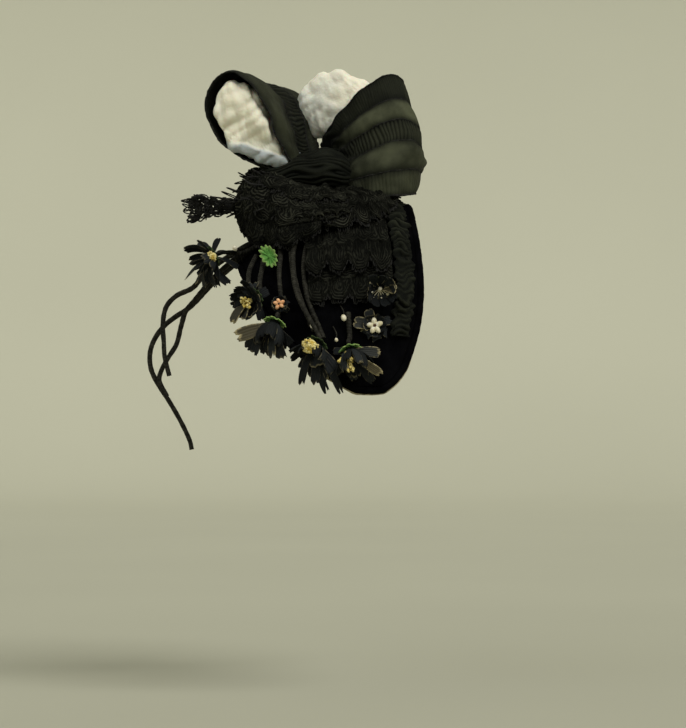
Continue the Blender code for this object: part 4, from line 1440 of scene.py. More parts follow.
def make_tissue():
    """The crumpled paper that holds the loops open."""
    for row in TISSUE:
        spill = Vector((row["spill_side"], row["spill_back"], row["spill_up"])) * LOOP_LENGTH
        bm = new_mesh("cool")
        cool = bm.verts.layers.float["cool"]
        bmesh.ops.create_icosphere(bm, subdivisions=6, radius=1.0, calc_uvs=True)
        for corner in bm.verts:
            x, y, z = corner.co
            boxy = (abs(x) ** row["blunt"] + math.hypot(y, z) ** row["blunt"]) ** (-1 / row["blunt"])
            across = (row["low"] + row["high"]) / 2 + (row["high"] - row["low"]) / 2 * x * boxy
            past = max(across - row["spill_from"], 0.0) / (row["high"] - row["spill_from"] + GAP)
            fill = row["near_fill"] + (row["far_fill"] - row["near_fill"]) * across
            along = row["middle"] + fill * 0.5 * y * boxy
            sheet = 1 - ramp(0.43, 0.47, along + 0.10 * z + 0.05 * uneven(2 * y, 2 * z))
            corner[cool] = sheet if row["loop"] == "front" else 0.25 * sheet
            corner.co = ring_point(row["loop"], across, along, fill * z * boxy) + spill * past
        turn_outwards(bm)
        bm.normal_update()
        moves = []
        for corner in bm.verts:
            stretch = Vector((corner.co.x, corner.co.y * 1.5, corner.co.z * 0.75))
            depth = sum(tall * (crease(stretch, cell, seed) - level) for tall, cell, seed, level in CREASES)
            run = corner.co.z - 0.8 * corner.co.y
            depth += 0.0011 * abs(math.sin(math.pi * (run / 0.0085 + 0.7 * uneven(*(60 * corner.co))))) ** 0.5
            depth += SHEET_RISE * corner[cool]
            moves.append((corner, corner.normal * (depth - 0.0006)))
        for corner, move in moves:
            corner.co += move
        name = f"bow_tissue_{row['loop']}"
        piece = piece_from(name + "_paper", bm, "tissue", [name])


# Flowers

FLOWERS = rows_of(
    "name parts angle back lift left behind up roll petals length width cup",
    ("front", "petals stamens calyx", 13, -1.11, 0.867, 0.30, -0.80, -0.50, 0.3, 10, 1.05, 1.0, 28),
    ("brow", "petals stamens calyx", 55.5, -0.73, 0.68, 0.72, -0.62, -0.28, 0.9, 10, 0.85, 0.9, 40),
    ("temple", "petals calyx", 66.5, -0.537, 0.68, 0.35, -0.30, -0.90, 0.2, 10, 1.10, 1.0, 60),
    ("cheek", "petals stamens calyx", 75.5, -0.14, 0.72, 0.60, -0.35, -0.72, 0.6, 10, 1.00, 0.9, 56),
    ("ear", "petals stamens calyx", 77, 0.20, 0.61, 0.42, 0.20, -0.90, 1.1, 10, 1.00, 0.85, 60),
    ("lobe", "petals stamens", 68, 0.48, 0.03, 0.97, 0.04, 0.20, 0.4, 9, 0.36, 0.9, 24),
    ("tier", "petals stamens calyx", 56.5, 0.54, 0.60, 0.92, 0.15, -0.20, 0.1, 9, 0.75, 0.9, 48),
    ("centre", "petals stamens", 58.0, -0.52, 0.32, 0.92, -0.20, 0.10, 0.5, 9, 0.20, 0.8, 30),
    ("crown", "calyx", 34, -0.615, 0.64, 0.85, -0.45, 0.10, 0.75, 9, 1.0, 1.0, 0),
)
# Straps that are laid one by one: where each tip is from its flower's middle, in petal lengths, how wide the
# strap is, in petal widths, and how pale it is
LAID_PETALS = rows_of(
    "flower back up out wide shade",
    ("front", -1.00, -0.84, 0.15, 1.80, 0.25),
    ("front", -0.87, -0.24, -0.22, 1.35, 0.20),
    ("front", -0.54, 0.50, -0.30, 1.12, 0.15),
    ("front", -0.31, -1.17, 0.07, 1.35, 0.20),
    ("front", 0.09, -1.13, 0.00, 1.35, 0.20),
    ("front", 0.61, -0.99, 0.15, 1.35, 0.15),
    ("front", 0.94, -0.44, 0.22, 1.35, 0.20),
    ("front", 0.86, 0.19, 0.00, 1.35, 0.10),
    ("front", 0.20, 0.68, -0.22, 1.12, 0.10),
    ("front", -0.63, -1.03, 0.30, 1.46, 0.30),
    ("brow", -0.34, 0.53, 0.07, 1.46, 0.38),
    ("brow", -0.74, -0.18, -0.15, 0.79, 0.10),
    ("brow", -0.41, -0.69, 0.22, 1.57, 0.62),
    ("brow", -0.81, -0.83, 0.07, 1.46, 0.72),
    ("brow", 0.26, -0.76, 0.00, 1.12, 0.10),
    ("brow", 0.48, 0.32, 0.00, 1.12, 0.10),
    ("brow", 0.08, 0.61, -0.15, 1.12, 0.30),
    ("brow", -0.60, 0.21, 0.00, 0.90, 0.20),
    ("temple", -1.34, -0.57, 0.30, 1.57, 0.85),
    ("temple", -0.74, -1.17, 0.22, 1.69, 0.15),
    ("temple", -0.39, -1.17, -0.07, 1.35, 0.12),
    ("temple", -0.03, -1.25, 0.37, 1.01, 0.55),
    ("temple", 0.32, -1.28, 0.22, 1.35, 0.22),
    ("temple", 0.57, -0.82, 0.00, 1.12, 0.10),
    ("temple", -1.00, -0.92, -0.15, 1.35, 0.15),
    ("temple", -0.25, -1.00, 0.07, 1.35, 0.30),
    ("cheek", -0.56, -1.37, 0.00, 0.90, 0.10),
    ("cheek", -0.38, -0.84, 0.15, 1.24, 0.15),
    ("cheek", 0.01, -1.37, 0.15, 1.12, 0.15),
    ("cheek", 0.22, -1.27, -0.07, 1.24, 0.60),
    ("cheek", 0.40, -1.69, 0.07, 0.90, 0.10),
    ("cheek", 0.79, -1.72, 0.00, 0.90, 0.10),
    ("cheek", 0.65, -0.98, 0.22, 1.57, 0.20),
    ("cheek", 0.05, -0.77, 0.37, 1.69, 0.35),
    ("cheek", -0.63, -0.27, -0.15, 1.01, 0.10),
    ("cheek", -0.20, -1.16, -0.07, 1.12, 0.20),
    ("ear", 1.06, -0.91, 0.22, 1.01, 0.97),
    ("ear", 1.06, -0.17, -0.15, 1.24, 0.60),
    ("ear", 0.56, -0.52, -0.22, 1.12, 0.30),
    ("ear", -0.29, -0.81, -0.07, 0.79, 0.35),
    ("ear", -0.57, -0.95, -0.15, 1.01, 0.15),
    ("ear", 0.21, -1.09, -0.22, 1.01, 0.15),
    ("ear", 0.78, -1.20, -0.22, 1.01, 0.12),
    ("ear", -0.60, -0.10, -0.22, 0.90, 0.20),
    ("lobe", -0.72, 0.17, 0.00, 1.46, 0.62),
    ("lobe", -0.19, 0.63, 0.00, 1.24, 0.55),
    ("lobe", -0.47, -0.40, -0.07, 1.35, 0.50),
    ("lobe", 0.13, -0.65, -0.07, 1.12, 0.40),
    ("lobe", 0.52, -0.29, -0.07, 1.12, 0.20),
    ("lobe", 0.59, 0.28, -0.07, 1.12, 0.25),
    ("tier", -0.30, 0.25, 0.07, 1.12, 0.72),
    ("tier", 0.02, 0.39, 0.07, 1.24, 0.85),
    ("tier", 0.58, -0.07, 0.15, 1.57, 0.93),
    ("tier", 0.37, 0.25, 0.00, 1.24, 0.80),
    ("tier", -0.37, -0.11, 0.15, 1.01, 0.50),
    ("tier", 0.16, -0.53, 0.07, 1.01, 0.20),
    ("tier", -0.34, -0.50, 0.07, 1.01, 0.30),
    ("centre", -0.25, -0.02, -0.07, 0.67, 0.20),
    ("centre", -0.02, -0.30, -0.07, 0.67, 0.20),
    ("centre", 0.30, -0.22, -0.07, 0.67, 0.20),
    ("centre", 0.34, 0.09, -0.07, 0.67, 0.15),
    ("centre", 0.10, 0.32, -0.07, 0.67, 0.15),
    ("centre", -0.20, 0.24, -0.07, 0.67, 0.20),
)
STAMEN_STYLES = {
    "front": ("knobs", "stamens"),
    "brow": ("pegs", "stamens"),
    "cheek": ("ball", "stamens"),
    "ear": ("trumpets", "stamens"),
    "lobe": ("star", "cream"),
    "tier": ("beads", "cream"),
    "centre": ("star", "orange"),
}
# How far the stamens lean clear of the petals that lie over them: left, back and up, in mm
STAMEN_SHIFT = {
    "front": (7.0, 3.0, 1.6),
    "cheek": (6.2, -1.6, 2.4),
    "ear": (3.4, -2.0, 0.6),
    "brow": (1.2, -1.0, -0.4),
}
# These flowers' calyxes take the green darkened as painted shade
DARK_CALYXES = ("front", "brow", "cheek", "tier")
# The calyx on the crown is an oval that hangs a little below its wire
CROWN_OVAL = (0.76, 1.16)
CROWN_SHIFT = (0.4, 1.0, -2.2)
STAR_REACH = {"lobe": 0.0040, "centre": 0.0029}
STAR_ARM = (0.20, 0.26, 0.31, 0.33, 0.32, 0.26, 0.12)
# The three trumpets: which way they lean and how far, how tall they are and how wide
TRUMPETS = ((2.6, 1.05, 0.0062, 0.0011), (0.5, 0.55, 0.0066, 0.0008), (4.4, 0.9, 0.0058, 0.0008))
PETAL_SHAPE = rows_of(
    "along wide",
    (0.00, 0.42),
    (0.20, 0.60),
    (0.45, 0.88),
    (0.78, 1.00),
    (1.00, 0.84),
)
# Small buds on wires: where they are over the cap, how high and how big, in millimetres
BUDS = rows_of(
    "angle back lift radius ring",
    (67.6, -9.5, 3.4, 1.1, 2.0),
    (65.4, 5.0, 3.4, 1.3, 0.0),
    (18.9, -42.0, 9.5, 1.1, 0.0),
    (73.2, 1.6, 4.0, 0.8, 0.0),
)


def flower_back(row):
    """How far behind the seat a flower is. Its row gives that as a share of the cap's reach."""
    return row["back"] * (CAP_FRONT if row["back"] < 0 else CAP_BACK)


def flower_frame(row):
    """Where a flower stands: its place, the way it faces, and both as a matrix."""
    at = head_point(math.radians(row["angle"]), flower_back(row), CAP_TOP + row["lift"] * PETAL_LENGTH)
    facing = Vector((row["left"], row["behind"], row["up"])).normalized()
    turn = facing.to_track_quat("Z", "Y").to_matrix().to_4x4()
    return at, facing, Matrix.Translation(at) @ turn @ Matrix.Rotation(row["roll"], 4, "Z")


def laid_petal(bm, start, tip, wide, chance, shade):
    """A strap of cloth from the hub to its tip, with a notched, frayed end and its face off the head."""
    along = tip - start
    length = along.length
    way = along.normalized()
    away = off_head((start + tip) / 2) + Vector([chance.uniform(-0.45, 0.45) for _ in range(3)])
    face = (away - way * away.dot(way)).normalized()
    side = way.cross(face)
    bow, twist = chance.uniform(0.04, 0.16), chance.uniform(-0.55, 0.55)
    channel, sway = chance.uniform(0.05, 0.22), chance.uniform(-0.07, 0.07)
    notch, fray = chance.uniform(0.05, 0.15), 50 * chance.random()
    split = chance.uniform(-0.25, 0.25)

    def place(u, v):
        beside = 2 * u - 1
        ragged = 0.045 * uneven(6 * u, fray) + 0.035 * uneven(19 * u, fray)
        cut = notch * max(0.0, 1 - abs(beside - split) / 0.34)
        end = 1.03 - 0.09 * beside * beside - cut + ragged
        share = v * (1 - (1 - end) * v * v)
        half = wide / 2 * table_value(PETAL_SHAPE, "along", "wide", min(share, 1.0))
        half *= 1 + 0.05 * uneven(5 * v, fray + 9)
        roll = twist * (share - 0.25)
        pinch = wide * channel * (beside * beside - 0.4) * (1.2 - share)
        flat = side * math.cos(roll) + face * math.sin(roll)
        tall = face * math.cos(roll) - side * math.sin(roll)
        middle = start + along * share + face * (bow * length * math.sin(math.pi * min(share, 1.0)))
        return middle + side * (sway * length * share * share) + flat * (half * beside) + tall * pinch

    shares = grid(bm, 8, 14, place)
    mark(bm, shares, "shade", lambda u, v: shade)


def petal(bm, turn, length, width, cup, chance, shade):
    """One strap of the whorl that fills the flower behind the laid ones."""
    outward = around(turn)
    sideways = Vector((-outward.y, outward.x, 0))
    twist, curl = chance.uniform(-0.45, 0.45), chance.uniform(-0.25, 0.35)
    notch, fray = chance.uniform(0.05, 0.13), 50 * chance.random()
    channel = chance.uniform(0.10, 0.28)

    def place(u, v):
        beside = 2 * u - 1
        ragged = 0.05 * uneven(6 * u, fray) + 0.03 * uneven(17 * u, fray)
        cut = notch * max(0.0, 1 - abs(beside) / 0.38)
        end = 1 - 0.10 * beside * beside - cut + ragged
        share = v * (1 - (1 - end) * v * v)
        bend = cup * (0.45 + 0.55 * share) + curl * share * share
        out = 0.7 * HUB_RADIUS + length * share * math.cos(bend)
        high = HUB_DEPTH / 2 + length * share * math.sin(bend)
        half = width / 2 * table_value(PETAL_SHAPE, "along", "wide", min(share, 1.0))
        roll = twist * share
        dip = width * channel * (beside * beside - 0.35) * (0.4 + 0.6 * share)
        lift = Vector((-math.sin(bend), 0, math.cos(bend))) * (dip + half * beside * math.sin(roll))
        flat = outward * (out + lift.x) + sideways * (half * beside * math.cos(roll))
        return flat + Vector((0, 0, high + lift.z))

    shares = grid(bm, 6, 9, place)
    mark(bm, shares, "shade", lambda u, v: shade)


def make_petals(row, index):
    """A flower's petals: a whorl on the hub, and the straps that are laid one by one."""
    at, facing, stand = flower_frame(row)
    chance = random.Random(100 + index)
    bm = new_mesh("shade")
    for number in range(row["petals"]):
        spread = 2 * math.pi * number / row["petals"] + chance.uniform(-0.10, 0.10)
        length = PETAL_LENGTH * row["length"] * chance.uniform(0.84, 1.0)
        width = 1.15 * PETAL_WIDTH * row["width"] * chance.uniform(0.9, 1.15)
        cup = math.radians(row["cup"]) + chance.uniform(-0.12, 0.12)
        petal(bm, spread, length, width, cup, chance, 0.5 * chance.random() ** 1.6)
    bmesh.ops.create_cone(
        bm, cap_ends=True, segments=20, radius1=HUB_RADIUS, radius2=0.8 * HUB_RADIUS,
        depth=HUB_DEPTH, matrix=Matrix.Translation((0, 0, HUB_DEPTH / 2)), calc_uvs=False)
    bmesh.ops.transform(bm, matrix=stand, verts=bm.verts)
    for strap in LAID_PETALS:
        if strap["flower"] == row["name"]:
            reach = Vector((strap["out"], strap["back"], strap["up"])) * PETAL_LENGTH
            start = at + facing * HUB_DEPTH / 2 + reach.normalized() * 0.45 * HUB_RADIUS
            wide = PETAL_WIDTH * strap["wide"]
            laid_petal(bm, start, at + reach, wide, chance, strap["shade"])
    name = f"petals_{row['name']}"
    piece_from(name + "_cloth", bm, "petal_cloth", [name], PETAL_CLOTH)


def knobbed_stalk(bm, foot, way, tall, thick, knob):
    """A thin stalk with a flocked knob on its end."""
    line = [foot + way * tall * k / 4 for k in range(5)]
    tube(bm, line, [thick] * 5, 6)
    bead(bm, line[-1], knob, 2, 1.3, way)


def fill_stamens(bm, style, name, chance):
    """Adds a flower's stamens, in the flower's own place, over its hub."""
    floor = HUB_DEPTH + GAP
    foot = Vector((0, 0, floor))
    if style in ("ball", "knobs"):
        count, size = (110, 1.0) if style == "ball" else (60, 0.72)
        for number in range(count):
            turn = number * GOLDEN_TURN
            down = 1 - 1.25 * (number + 0.5) / count
            flat = math.sqrt(max(1 - down * down, 0.0))
            way = around(turn, flat, down)
            at = foot + Vector((0, 0, 0.0021)) + way * 0.0034 * size * chance.uniform(0.80, 1.12)
            bead(bm, at, size * chance.uniform(0.00052, 0.00086))
        bead(bm, foot + Vector((0, 0, 0.0018)), 0.0027 * size, 3)
    elif style == "star":
        reach = STAR_REACH[name]
        for number in range(5):
            turn = 2 * math.pi * number / 5 + chance.uniform(-0.15, 0.15)
            way = around(turn, 1.0, 0.28)
            long = reach * chance.uniform(0.88, 1.08)
            line = [foot + way * long * k / 6 for k in range(7)]
            tube(bm, line, [reach * radius for radius in STAR_ARM], 9)
        for number in range(9):
            turn = 2 * math.pi * number / 9
            at = foot + around(turn) * 0.32 * reach + Vector((0, 0, 0.28 * reach))
            bead(bm, at, 0.13 * reach * chance.uniform(0.8, 1.2))
    elif style == "trumpets":
        for turn, lean, tall, wide in TRUMPETS:
            way = around(turn, lean, 1.0).normalized()
            line = [foot + way * tall * k / 8 for k in range(9)]
            tube(bm, line, [wide * (0.55 + 0.45 * (k / 8) ** 2) for k in range(9)], 10)
            for number in range(6):
                bend = 2 * math.pi * number / 6
                side = way.orthogonal().normalized()
                spot = side * math.cos(bend) + way.cross(side) * math.sin(bend)
                bead(bm, line[-1] + spot * wide * 0.8, 0.5 * wide)
        for number in range(9):
            turn = number * GOLDEN_TURN
            way = around(turn, 0.16, 1.0).normalized()
            knobbed_stalk(bm, foot, way, chance.uniform(0.0088, 0.0108), 0.00024, 0.0006)
    elif style == "beads":
        for number in range(6):
            turn = 3.5 + 0.42 * number
            at = foot + around(turn) * chance.uniform(0.0042, 0.0060)
            bead(bm, at, chance.uniform(0.00065, 0.0010), 2)
            tube(bm, [foot.lerp(at, k / 3) for k in range(4)], [0.0002] * 4, 5)
        bead(bm, foot, 0.0011, 2)
    else:
        for number in range(16):
            turn = number * GOLDEN_TURN
            lean = 0.18 + 0.75 * math.sqrt((number + 0.5) / 16)
            way = around(turn, lean, 1.0).normalized()
            tall, knob = chance.uniform(0.0030, 0.0052), chance.uniform(0.0005, 0.00075)
            knobbed_stalk(bm, foot, way, tall, 0.00028, knob)
        bead(bm, foot, 0.0014, 2, 0.7)


def make_stamens(row, index):
    """A flower's stamens, and the dark eye of a star."""
    style, finish = STAMEN_STYLES[row["name"]]
    _, _, stand = flower_frame(row)
    name = f"stamens_{row['name']}"
    bm = new_mesh()
    fill_stamens(bm, style, row["name"], random.Random(200 + index))
    shift = Matrix.Translation(Vector(STAMEN_SHIFT.get(row["name"], (0, 0, 0))) * MM)
    bmesh.ops.transform(bm, matrix=shift @ stand, verts=bm.verts)
    piece_from(name + "_tuft", bm, finish, [name])
    if style == "star":
        bm = new_mesh()
        reach = STAR_REACH[row["name"]]
        bead(bm, stand @ Vector((0, 0, HUB_DEPTH + GAP + 0.22 * reach)), 0.24 * reach, 2)
        piece_from(name + "_eye", bm, "eye")


CALYX_TEETH = 12
CALYX_EYE = 0.0007
CALYX_RIB = 0.00030


def make_calyx(row):
    """Toothed disc of stiffened cloth with a rib to each tooth."""
    _, _, stand = flower_frame(row)
    middle = CALYX_BACK + CALYX_WALL / 2
    bm = new_mesh()

    def place(u, v):
        turn = 2 * math.pi * u
        tooth = math.cos(CALYX_TEETH * turn)
        wander = 1 + 0.05 * uneven(2.2 * math.cos(turn), 2.2 * math.sin(turn), row["angle"])
        edge = CALYX_RADIUS * (0.80 + 0.22 * (0.5 + 0.5 * tooth)) * wander
        out = CALYX_EYE + (edge - CALYX_EYE) * v
        rib = CALYX_RIB * tooth * ramp(0.1, 0.5, v)
        dish = 0.0009 * v * v + 0.0005 * uneven(3 * math.cos(turn), 3 * math.sin(turn), v)
        return around(turn, out, middle + rib + dish)

    grid(bm, 9 * CALYX_TEETH, 9, place, closed=True)
    bead(bm, Vector((0, 0, middle)), 0.0010, 2, 0.55)
    if row["name"] == "crown":
        stand = Matrix.Translation(Vector(CROWN_SHIFT) * MM) @ stand @ Matrix.Diagonal((*CROWN_OVAL, 1, 1))
    bmesh.ops.transform(bm, matrix=stand, verts=bm.verts)
    name = f"calyx_{row['name']}"
    finish = "calyx_dark" if row["name"] in DARK_CALYXES else "calyx_green"
    piece_from(name + "_disc", bm, finish, [name], CALYX_CLOTH)


WIRE_RADIUS = 0.0003
WIRE_STEPS = 12
RING_POINTS = 20


def make_buds():
    """Small buds on bent wires between the flowers, one of them with a ring of wire over it."""
    buds = new_mesh()
    wires = new_mesh("along")
    for row in BUDS:
        angle, back, lift = math.radians(row["angle"]), row["back"] * MM, CAP_TOP + row["lift"] * MM
        at, root = head_point(angle, back, lift), head_point(angle - 0.10, back - 0.002, CAP_TOP)
        out = (at - root).normalized()
        bead(buds, at, row["radius"] * MM, 3, 1.5, out)
        line = smooth_line([root, root.lerp(at, 0.5) + Vector((0, 0.0008, 0)), at], WIRE_STEPS)
        tube(wires, line, [WIRE_RADIUS] * WIRE_STEPS, 6)
        if row["ring"]:
            wide = row["ring"] * MM
            loop = []
            for k in range(RING_POINTS):
                turn = 2 * math.pi * k / RING_POINTS
                loop.append(at + Vector((0.0004, wide * math.sin(turn), wide * math.cos(turn) * 1.5 + wide)))
            tube(wires, loop, [0.00028] * RING_POINTS, 6, ring=True)
    piece_from("bud_heads", buds, "cream")
    piece_from("bud_wires", wires, "covered_wire")


def make_flowers():
    for index, row in enumerate(FLOWERS):
        if "petals" in row["parts"]:
            make_petals(row, index)
        if "stamens" in row["parts"]:
            make_stamens(row, index)
        if "calyx" in row["parts"]:
            make_calyx(row)
    make_buds()


# Stems

STEM_ROOTS = rows_of(
    "name root_angle root_back bulge late",
    ("front", 7, -0.62, 0.4, 1.0),
    ("brow", 22, -0.72, 0.5, 1.0),
    ("temple", 61, -0.66, 0.0, 1.0),
    ("cheek", 19, -0.44, 0.6, 2.6),
    ("ear", 63, 0.15, 0.1, 1.0),
    ("centre", 20, -0.55, 0.5, 1.0),
    ("crown", 26, -0.62, 0.0, 1.0),
)
# Stems that end under the petals: angle, back as a share of the cap's front, and height over the cloth in mm
LOOSE_STEMS = (
    ("loose_stem_front", (22, -0.80, 0.5), (34, -0.86, 1.5), (46, -0.84, 2.0), (56, -0.76, 1.0)),
    ("loose_stem_middle", (20, -0.34, 1.0), (36, -0.40, 2.0), (52, -0.36, 1.5), (69, -0.20, 0.5)),
    ("loose_stem_back", (22, -0.22, 1.0), (40, -0.30, 0.6), (56, -0.26, 1.2), (72, -0.10, 0.3)),
)
STEM_END_RUN = 0.0025
STEM_SWELL = 0.006
# How far along its way a stem bends, and how much of its bulge it has there
STEM_BENDS = ((0.30, 0.1), (0.66, 1.0))
STEM_STEPS = 72
LOOSE_STEPS = 60
LONG_STEPS = 170


def stem_piece(name, line, radii, replaces=()):
    """A covered wire with small lumps where its covering is wound."""
    bm = new_mesh("along")
    knobby = []
    for radius, at in zip(radii, distances(line)):
        knobby.append(radius * (1.20 + 0.08 * uneven(at / 0.0018, radius * 9000)))
    tube(bm, line, knobby, 14)
    piece_from(name, bm, "covered_wire", replaces)


def make_flower_stems():
    """Covered wires over the cap, from under the lace to the back of each flower."""
    flowers = {row["name"]: row for row in FLOWERS}
    seat = CAP_TOP + STEM_RADIUS - 0.5 * GAP
    for row in STEM_ROOTS:
        goal = flowers[row["name"]]
        at, facing, _ = flower_frame(goal)
        end = at + facing * ((CALYX_BACK if "calyx" in goal["parts"] else 0.0) - GAP)
        from_angle, to_angle = math.radians(row["root_angle"]), math.radians(goal["angle"])
        from_back, to_back = row["root_back"] * CAP_FRONT, flower_back(goal)
        points = [head_point(from_angle, from_back, seat)]
        for share, rise in STEM_BENDS:
            angle = from_angle + (to_angle - from_angle) * share
            back = from_back + (to_back - from_back) * share ** row["late"]
            lift = seat + STEM_SWELL * row["bulge"] * rise + 0.3 * STEM_RADIUS
            points.append(head_point(angle, back, lift))
        points += [end - facing * STEM_END_RUN, end]
        radii = [STEM_RADIUS * (1 - 0.25 * i / (STEM_STEPS - 1)) for i in range(STEM_STEPS)]
        name = f"stem_{row['name']}"
        stem_piece(name + "_covered", smooth_line(points, STEM_STEPS), radii, [name])
    for name, *places in LOOSE_STEMS:
        points = []
        for angle, back, rise in places:
            points.append(head_point(math.radians(angle), back * CAP_FRONT, seat + rise * MM))
        stem_piece(name, smooth_line(points, LOOSE_STEPS), [0.85 * STEM_RADIUS] * LOOSE_STEPS)


# The three long stems, through these places as shares of STEM_REACH and STEM_DROP
LONG_STEMS = {
    "long_stem_a": rows_of(
        "side ahead drop",
        (-0.01, 0.33, 0.10), (-0.01, 0.468, 0.116), (-0.02, 0.59, 0.175), (-0.02, 0.70, 0.24),
        (-0.02, 0.765, 0.30), (-0.02, 0.855, 0.336), (-0.03, 0.909, 0.384), (-0.03, 0.927, 0.457),
        (-0.03, 0.922, 0.534), (-0.03, 0.917, 0.599), (-0.03, 0.892, 0.681),
    ),
    "long_stem_b": rows_of(
        "side ahead drop",
        (-0.05, 0.33, 0.10), (-0.05, 0.46, 0.13), (-0.06, 0.57, 0.195), (-0.06, 0.67, 0.27),
        (-0.07, 0.763, 0.36), (-0.07, 0.804, 0.40), (-0.07, 0.83, 0.465), (-0.07, 0.855, 0.543),
        (-0.07, 0.898, 0.60), (-0.07, 0.932, 0.649), (-0.07, 0.948, 0.70), (-0.07, 0.905, 0.77),
    ),
    "long_stem_c": rows_of(
        "side ahead drop",
        (-0.09, 0.33, 0.10), (-0.09, 0.45, 0.14), (-0.10, 0.56, 0.21), (-0.10, 0.66, 0.28),
        (-0.11, 0.78, 0.38), (-0.11, 0.866, 0.427), (-0.11, 0.927, 0.467), (-0.11, 0.978, 0.526),
        (-0.11, 1.00, 0.582), (-0.11, 0.995, 0.649), (-0.11, 0.957, 0.716), (-0.11, 0.898, 0.789),
        (-0.10, 0.833, 0.879), (-0.10, 0.785, 0.961), (-0.10, 0.774, 1.00),
    ),
}


def make_long_stems():
    """Bare covered wires that curl down over the forehead."""
    seat = CAP_TOP + STEM_RADIUS
    for name, (first, *rest) in LONG_STEMS.items():
        points = [head_top(first["side"] * STEM_REACH, -first["ahead"] * STEM_REACH, seat * 1.2)]
        for row in rest:
            side, ahead, drop = row["side"] * STEM_REACH, row["ahead"] * STEM_REACH, row["drop"] * STEM_DROP
            points.append(Vector((side, -ahead, -drop)))
        radii = [STEM_RADIUS * (1.05 - 0.2 * i / (LONG_STEPS - 1)) for i in range(LONG_STEPS)]
        stem_piece(name + "_covered", smooth_line(points, LONG_STEPS), radii, [name])


# Stage

# The backdrop is a round floor that curves up into a wall
STAGE_FLAT = 2.5
STAGE_COVE = 0.9
STAGE_WALL = 1.3
POLE_DISTANCE = 1e-5
# Where the camera stands, and how wide its view is at the bonnet
CAMERA_ASIDE = 0.004
CAMERA_HEIGHT = -0.073
VIEW_WIDTH = 0.343


def make_stage():
    """The floor and the curved wall, in one piece."""
    sizes = bpy.context.scene.bonnet_stage
    bm = new_mesh()

    def place(u, v):
        turn = 2 * math.pi * u
        if v < 0.4:
            out, up = STAGE_FLAT * v / 0.4, 0.0
        elif v < 0.8:
            bend = math.pi / 2 * (v - 0.4) / 0.4
            out, up = STAGE_FLAT + STAGE_COVE * math.sin(bend), STAGE_COVE * (1 - math.cos(bend))
        else:
            out = STAGE_FLAT + STAGE_COVE
            up = STAGE_COVE + (STAGE_WALL - STAGE_COVE) * (v - 0.8) / 0.2
        return around(turn, out, up - sizes.floor_drop)

    grid(bm, 96, 40, place, closed=True)
    bmesh.ops.remove_doubles(bm, verts=bm.verts, dist=POLE_DISTANCE)
    mesh = bpy.data.meshes.new("backdrop")
    bm.to_mesh(mesh)
    bm.free()
    mesh.shade_smooth()
    mesh.materials.append(finish_named("backdrop"))
    sweep = bpy.data.objects.new("backdrop", mesh)
    bpy.context.scene.collection.objects.link(sweep)


def add_sun(name, way, strength, softness, colour):
    """A large soft light that shines from this side, evenly over the whole stage."""
    light = bpy.data.lights.new(name, "SUN")
    light.angle = math.radians(softness)
    light.energy = strength
    light.color = colour
    lamp = bpy.data.objects.new(name, light)
    lamp.rotation_mode = "QUATERNION"
    lamp.rotation_quaternion = Vector(way).to_track_quat("Z", "Y")
    bpy.context.scene.collection.objects.link(lamp)


def make_lights():
    sizes = bpy.context.scene.bonnet_stage
    add_sun("key light", (0.80, 0.62, 1.05), sizes.key, 34, (1.0, 0.985, 0.95))
    add_sun("fill light", (0.90, -0.80, 0.45), sizes.fill, 70, (0.97, 0.98, 1.0))
    world = bpy.data.worlds.new("studio air")
    world.use_nodes = True
    air = world.node_tree.nodes["Background"]
    air.inputs["Color"].default_value = (*sizes.backdrop, 1.0)
    air.inputs["Strength"].default_value = sizes.air
    bpy.context.scene.world = world


def make_camera():
    """A camera on the wearer's left, level with the middle of the bonnet."""
    sizes = bpy.context.scene.bonnet_stage
    lens = bpy.data.cameras.new("camera")
    lens.sensor_fit = "HORIZONTAL"
    lens.sensor_width = 36.0
    lens.lens = lens.sensor_width * sizes.distance / VIEW_WIDTH
    camera = bpy.data.objects.new("camera", lens)
    camera.location = (sizes.distance, CAMERA_ASIDE, CAMERA_HEIGHT)
    camera.rotation_mode = "QUATERNION"
    camera.rotation_quaternion = Vector((-1, 0, 0)).to_track_quat("-Z", "Y")
    bpy.context.scene.collection.objects.link(camera)
    bpy.context.scene.camera = camera
    bpy.context.scene.view_settings.view_transform = "Standard"


# Operators and panel

class BONNET_OT_make_stage(Operator):
    """Makes the backdrop, the lights and the camera"""
    bl_idname = "bonnet.make_stage"
    bl_label = "Stage"
    bl_options = {"REGISTER", "UNDO"}

    def execute(self, context):
        make_stage()
        make_lights()
        make_camera()
        return {"FINISHED"}


class BONNET_OT_make_cap(Operator):
    """Makes the velvet cap, its piped rim and the ruche along the back"""
    bl_idname = "bonnet.make_cap"
    bl_label = "Cap"
    bl_options = {"REGISTER", "UNDO"}

    def execute(self, context):
        make_rim()
        make_cap()
        make_ruche()
        return {"FINISHED"}


class BONNET_OT_make_lace(Operator):
    """Makes the lace mound, the cape, the flounces and the stiff frill at the front"""
    bl_idname = "bonnet.make_lace"
    bl_label = "Lace"
    bl_options = {"REGISTER", "UNDO"}

    def execute(self, context):
        make_lace_mound()
        make_lace_flounces()
        make_lace_cape()
        make_lace_skirts()
        make_lace_tiers()
        make_lace_frill()
        make_frill_tufts()
        return {"FINISHED"}


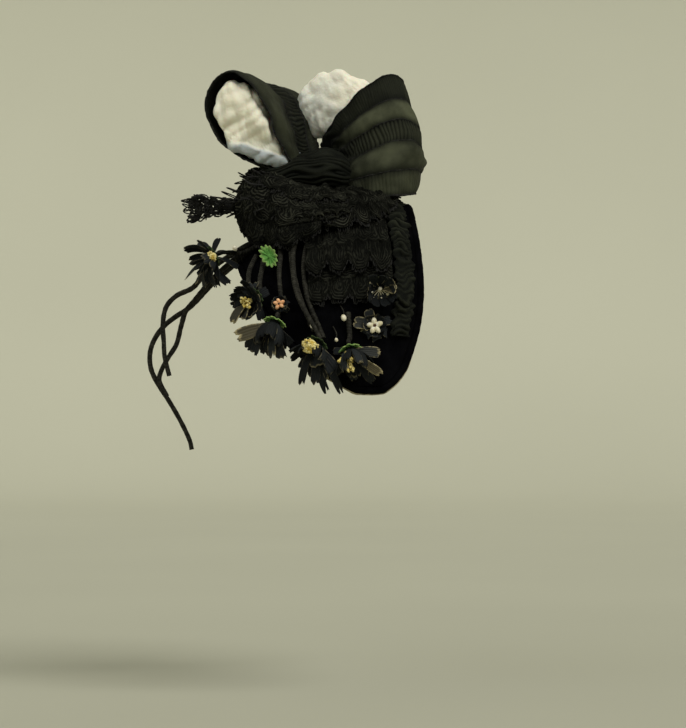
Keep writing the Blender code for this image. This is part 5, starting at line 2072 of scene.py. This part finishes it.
class BONNET_OT_make_bow(Operator):
    """Makes the knot, the crosspiece, the two shirred loops and the tissue in them"""
    bl_idname = "bonnet.make_bow"
    bl_label = "Bow"
    bl_options = {"REGISTER", "UNDO"}

    def execute(self, context):
        make_bow_knot()
        make_bow_crosspiece()
        make_bow_loops()
        make_tissue()
        return {"FINISHED"}


class BONNET_OT_make_flowers(Operator):
    """Makes the petals, the stamens, the calyxes and the small buds"""
    bl_idname = "bonnet.make_flowers"
    bl_label = "Flowers"
    bl_options = {"REGISTER", "UNDO"}

    def execute(self, context):
        make_flowers()
        return {"FINISHED"}


class BONNET_OT_make_stems(Operator):
    """Makes the covered wires of the flowers and the three long stems"""
    bl_idname = "bonnet.make_stems"
    bl_label = "Stems"
    bl_options = {"REGISTER", "UNDO"}

    def execute(self, context):
        make_flower_stems()
        make_long_stems()
        return {"FINISHED"}


OPERATORS = (
    BONNET_OT_make_stage,
    BONNET_OT_make_cap,
    BONNET_OT_make_lace,
    BONNET_OT_make_bow,
    BONNET_OT_make_flowers,
    BONNET_OT_make_stems,
)


class BONNET_PT_panel(Panel):
    """Lists the steps that finish the bonnet"""
    bl_idname = "BONNET_PT_panel"
    bl_label = "Evening Bonnet"
    bl_space_type = "VIEW_3D"
    bl_region_type = "UI"
    bl_category = "Bonnet"

    def draw(self, context):
        for kind in OPERATORS:
            self.layout.operator(kind.bl_idname)
        for name, group in GROUPS.items():
            box = self.layout.box()
            for setting in group.__annotations__:
                box.prop(getattr(context.scene, name), setting)


def register():
    for kind in [*GROUPS.values(), *OPERATORS, BONNET_PT_panel]:
        bpy.utils.register_class(kind)
    for name, group in GROUPS.items():
        setattr(bpy.types.Scene, name, PointerProperty(type=group))


def unregister():
    for name in GROUPS:
        delattr(bpy.types.Scene, name)
    for kind in [BONNET_PT_panel, *OPERATORS, *GROUPS.values()]:
        bpy.utils.unregister_class(kind)


def main():
    register()
    bpy.ops.bonnet.make_stage()
    bpy.ops.bonnet.make_cap()
    bpy.ops.bonnet.make_lace()
    bpy.ops.bonnet.make_bow()
    bpy.ops.bonnet.make_flowers()
    bpy.ops.bonnet.make_stems()


if __name__ == "__main__":
    main()
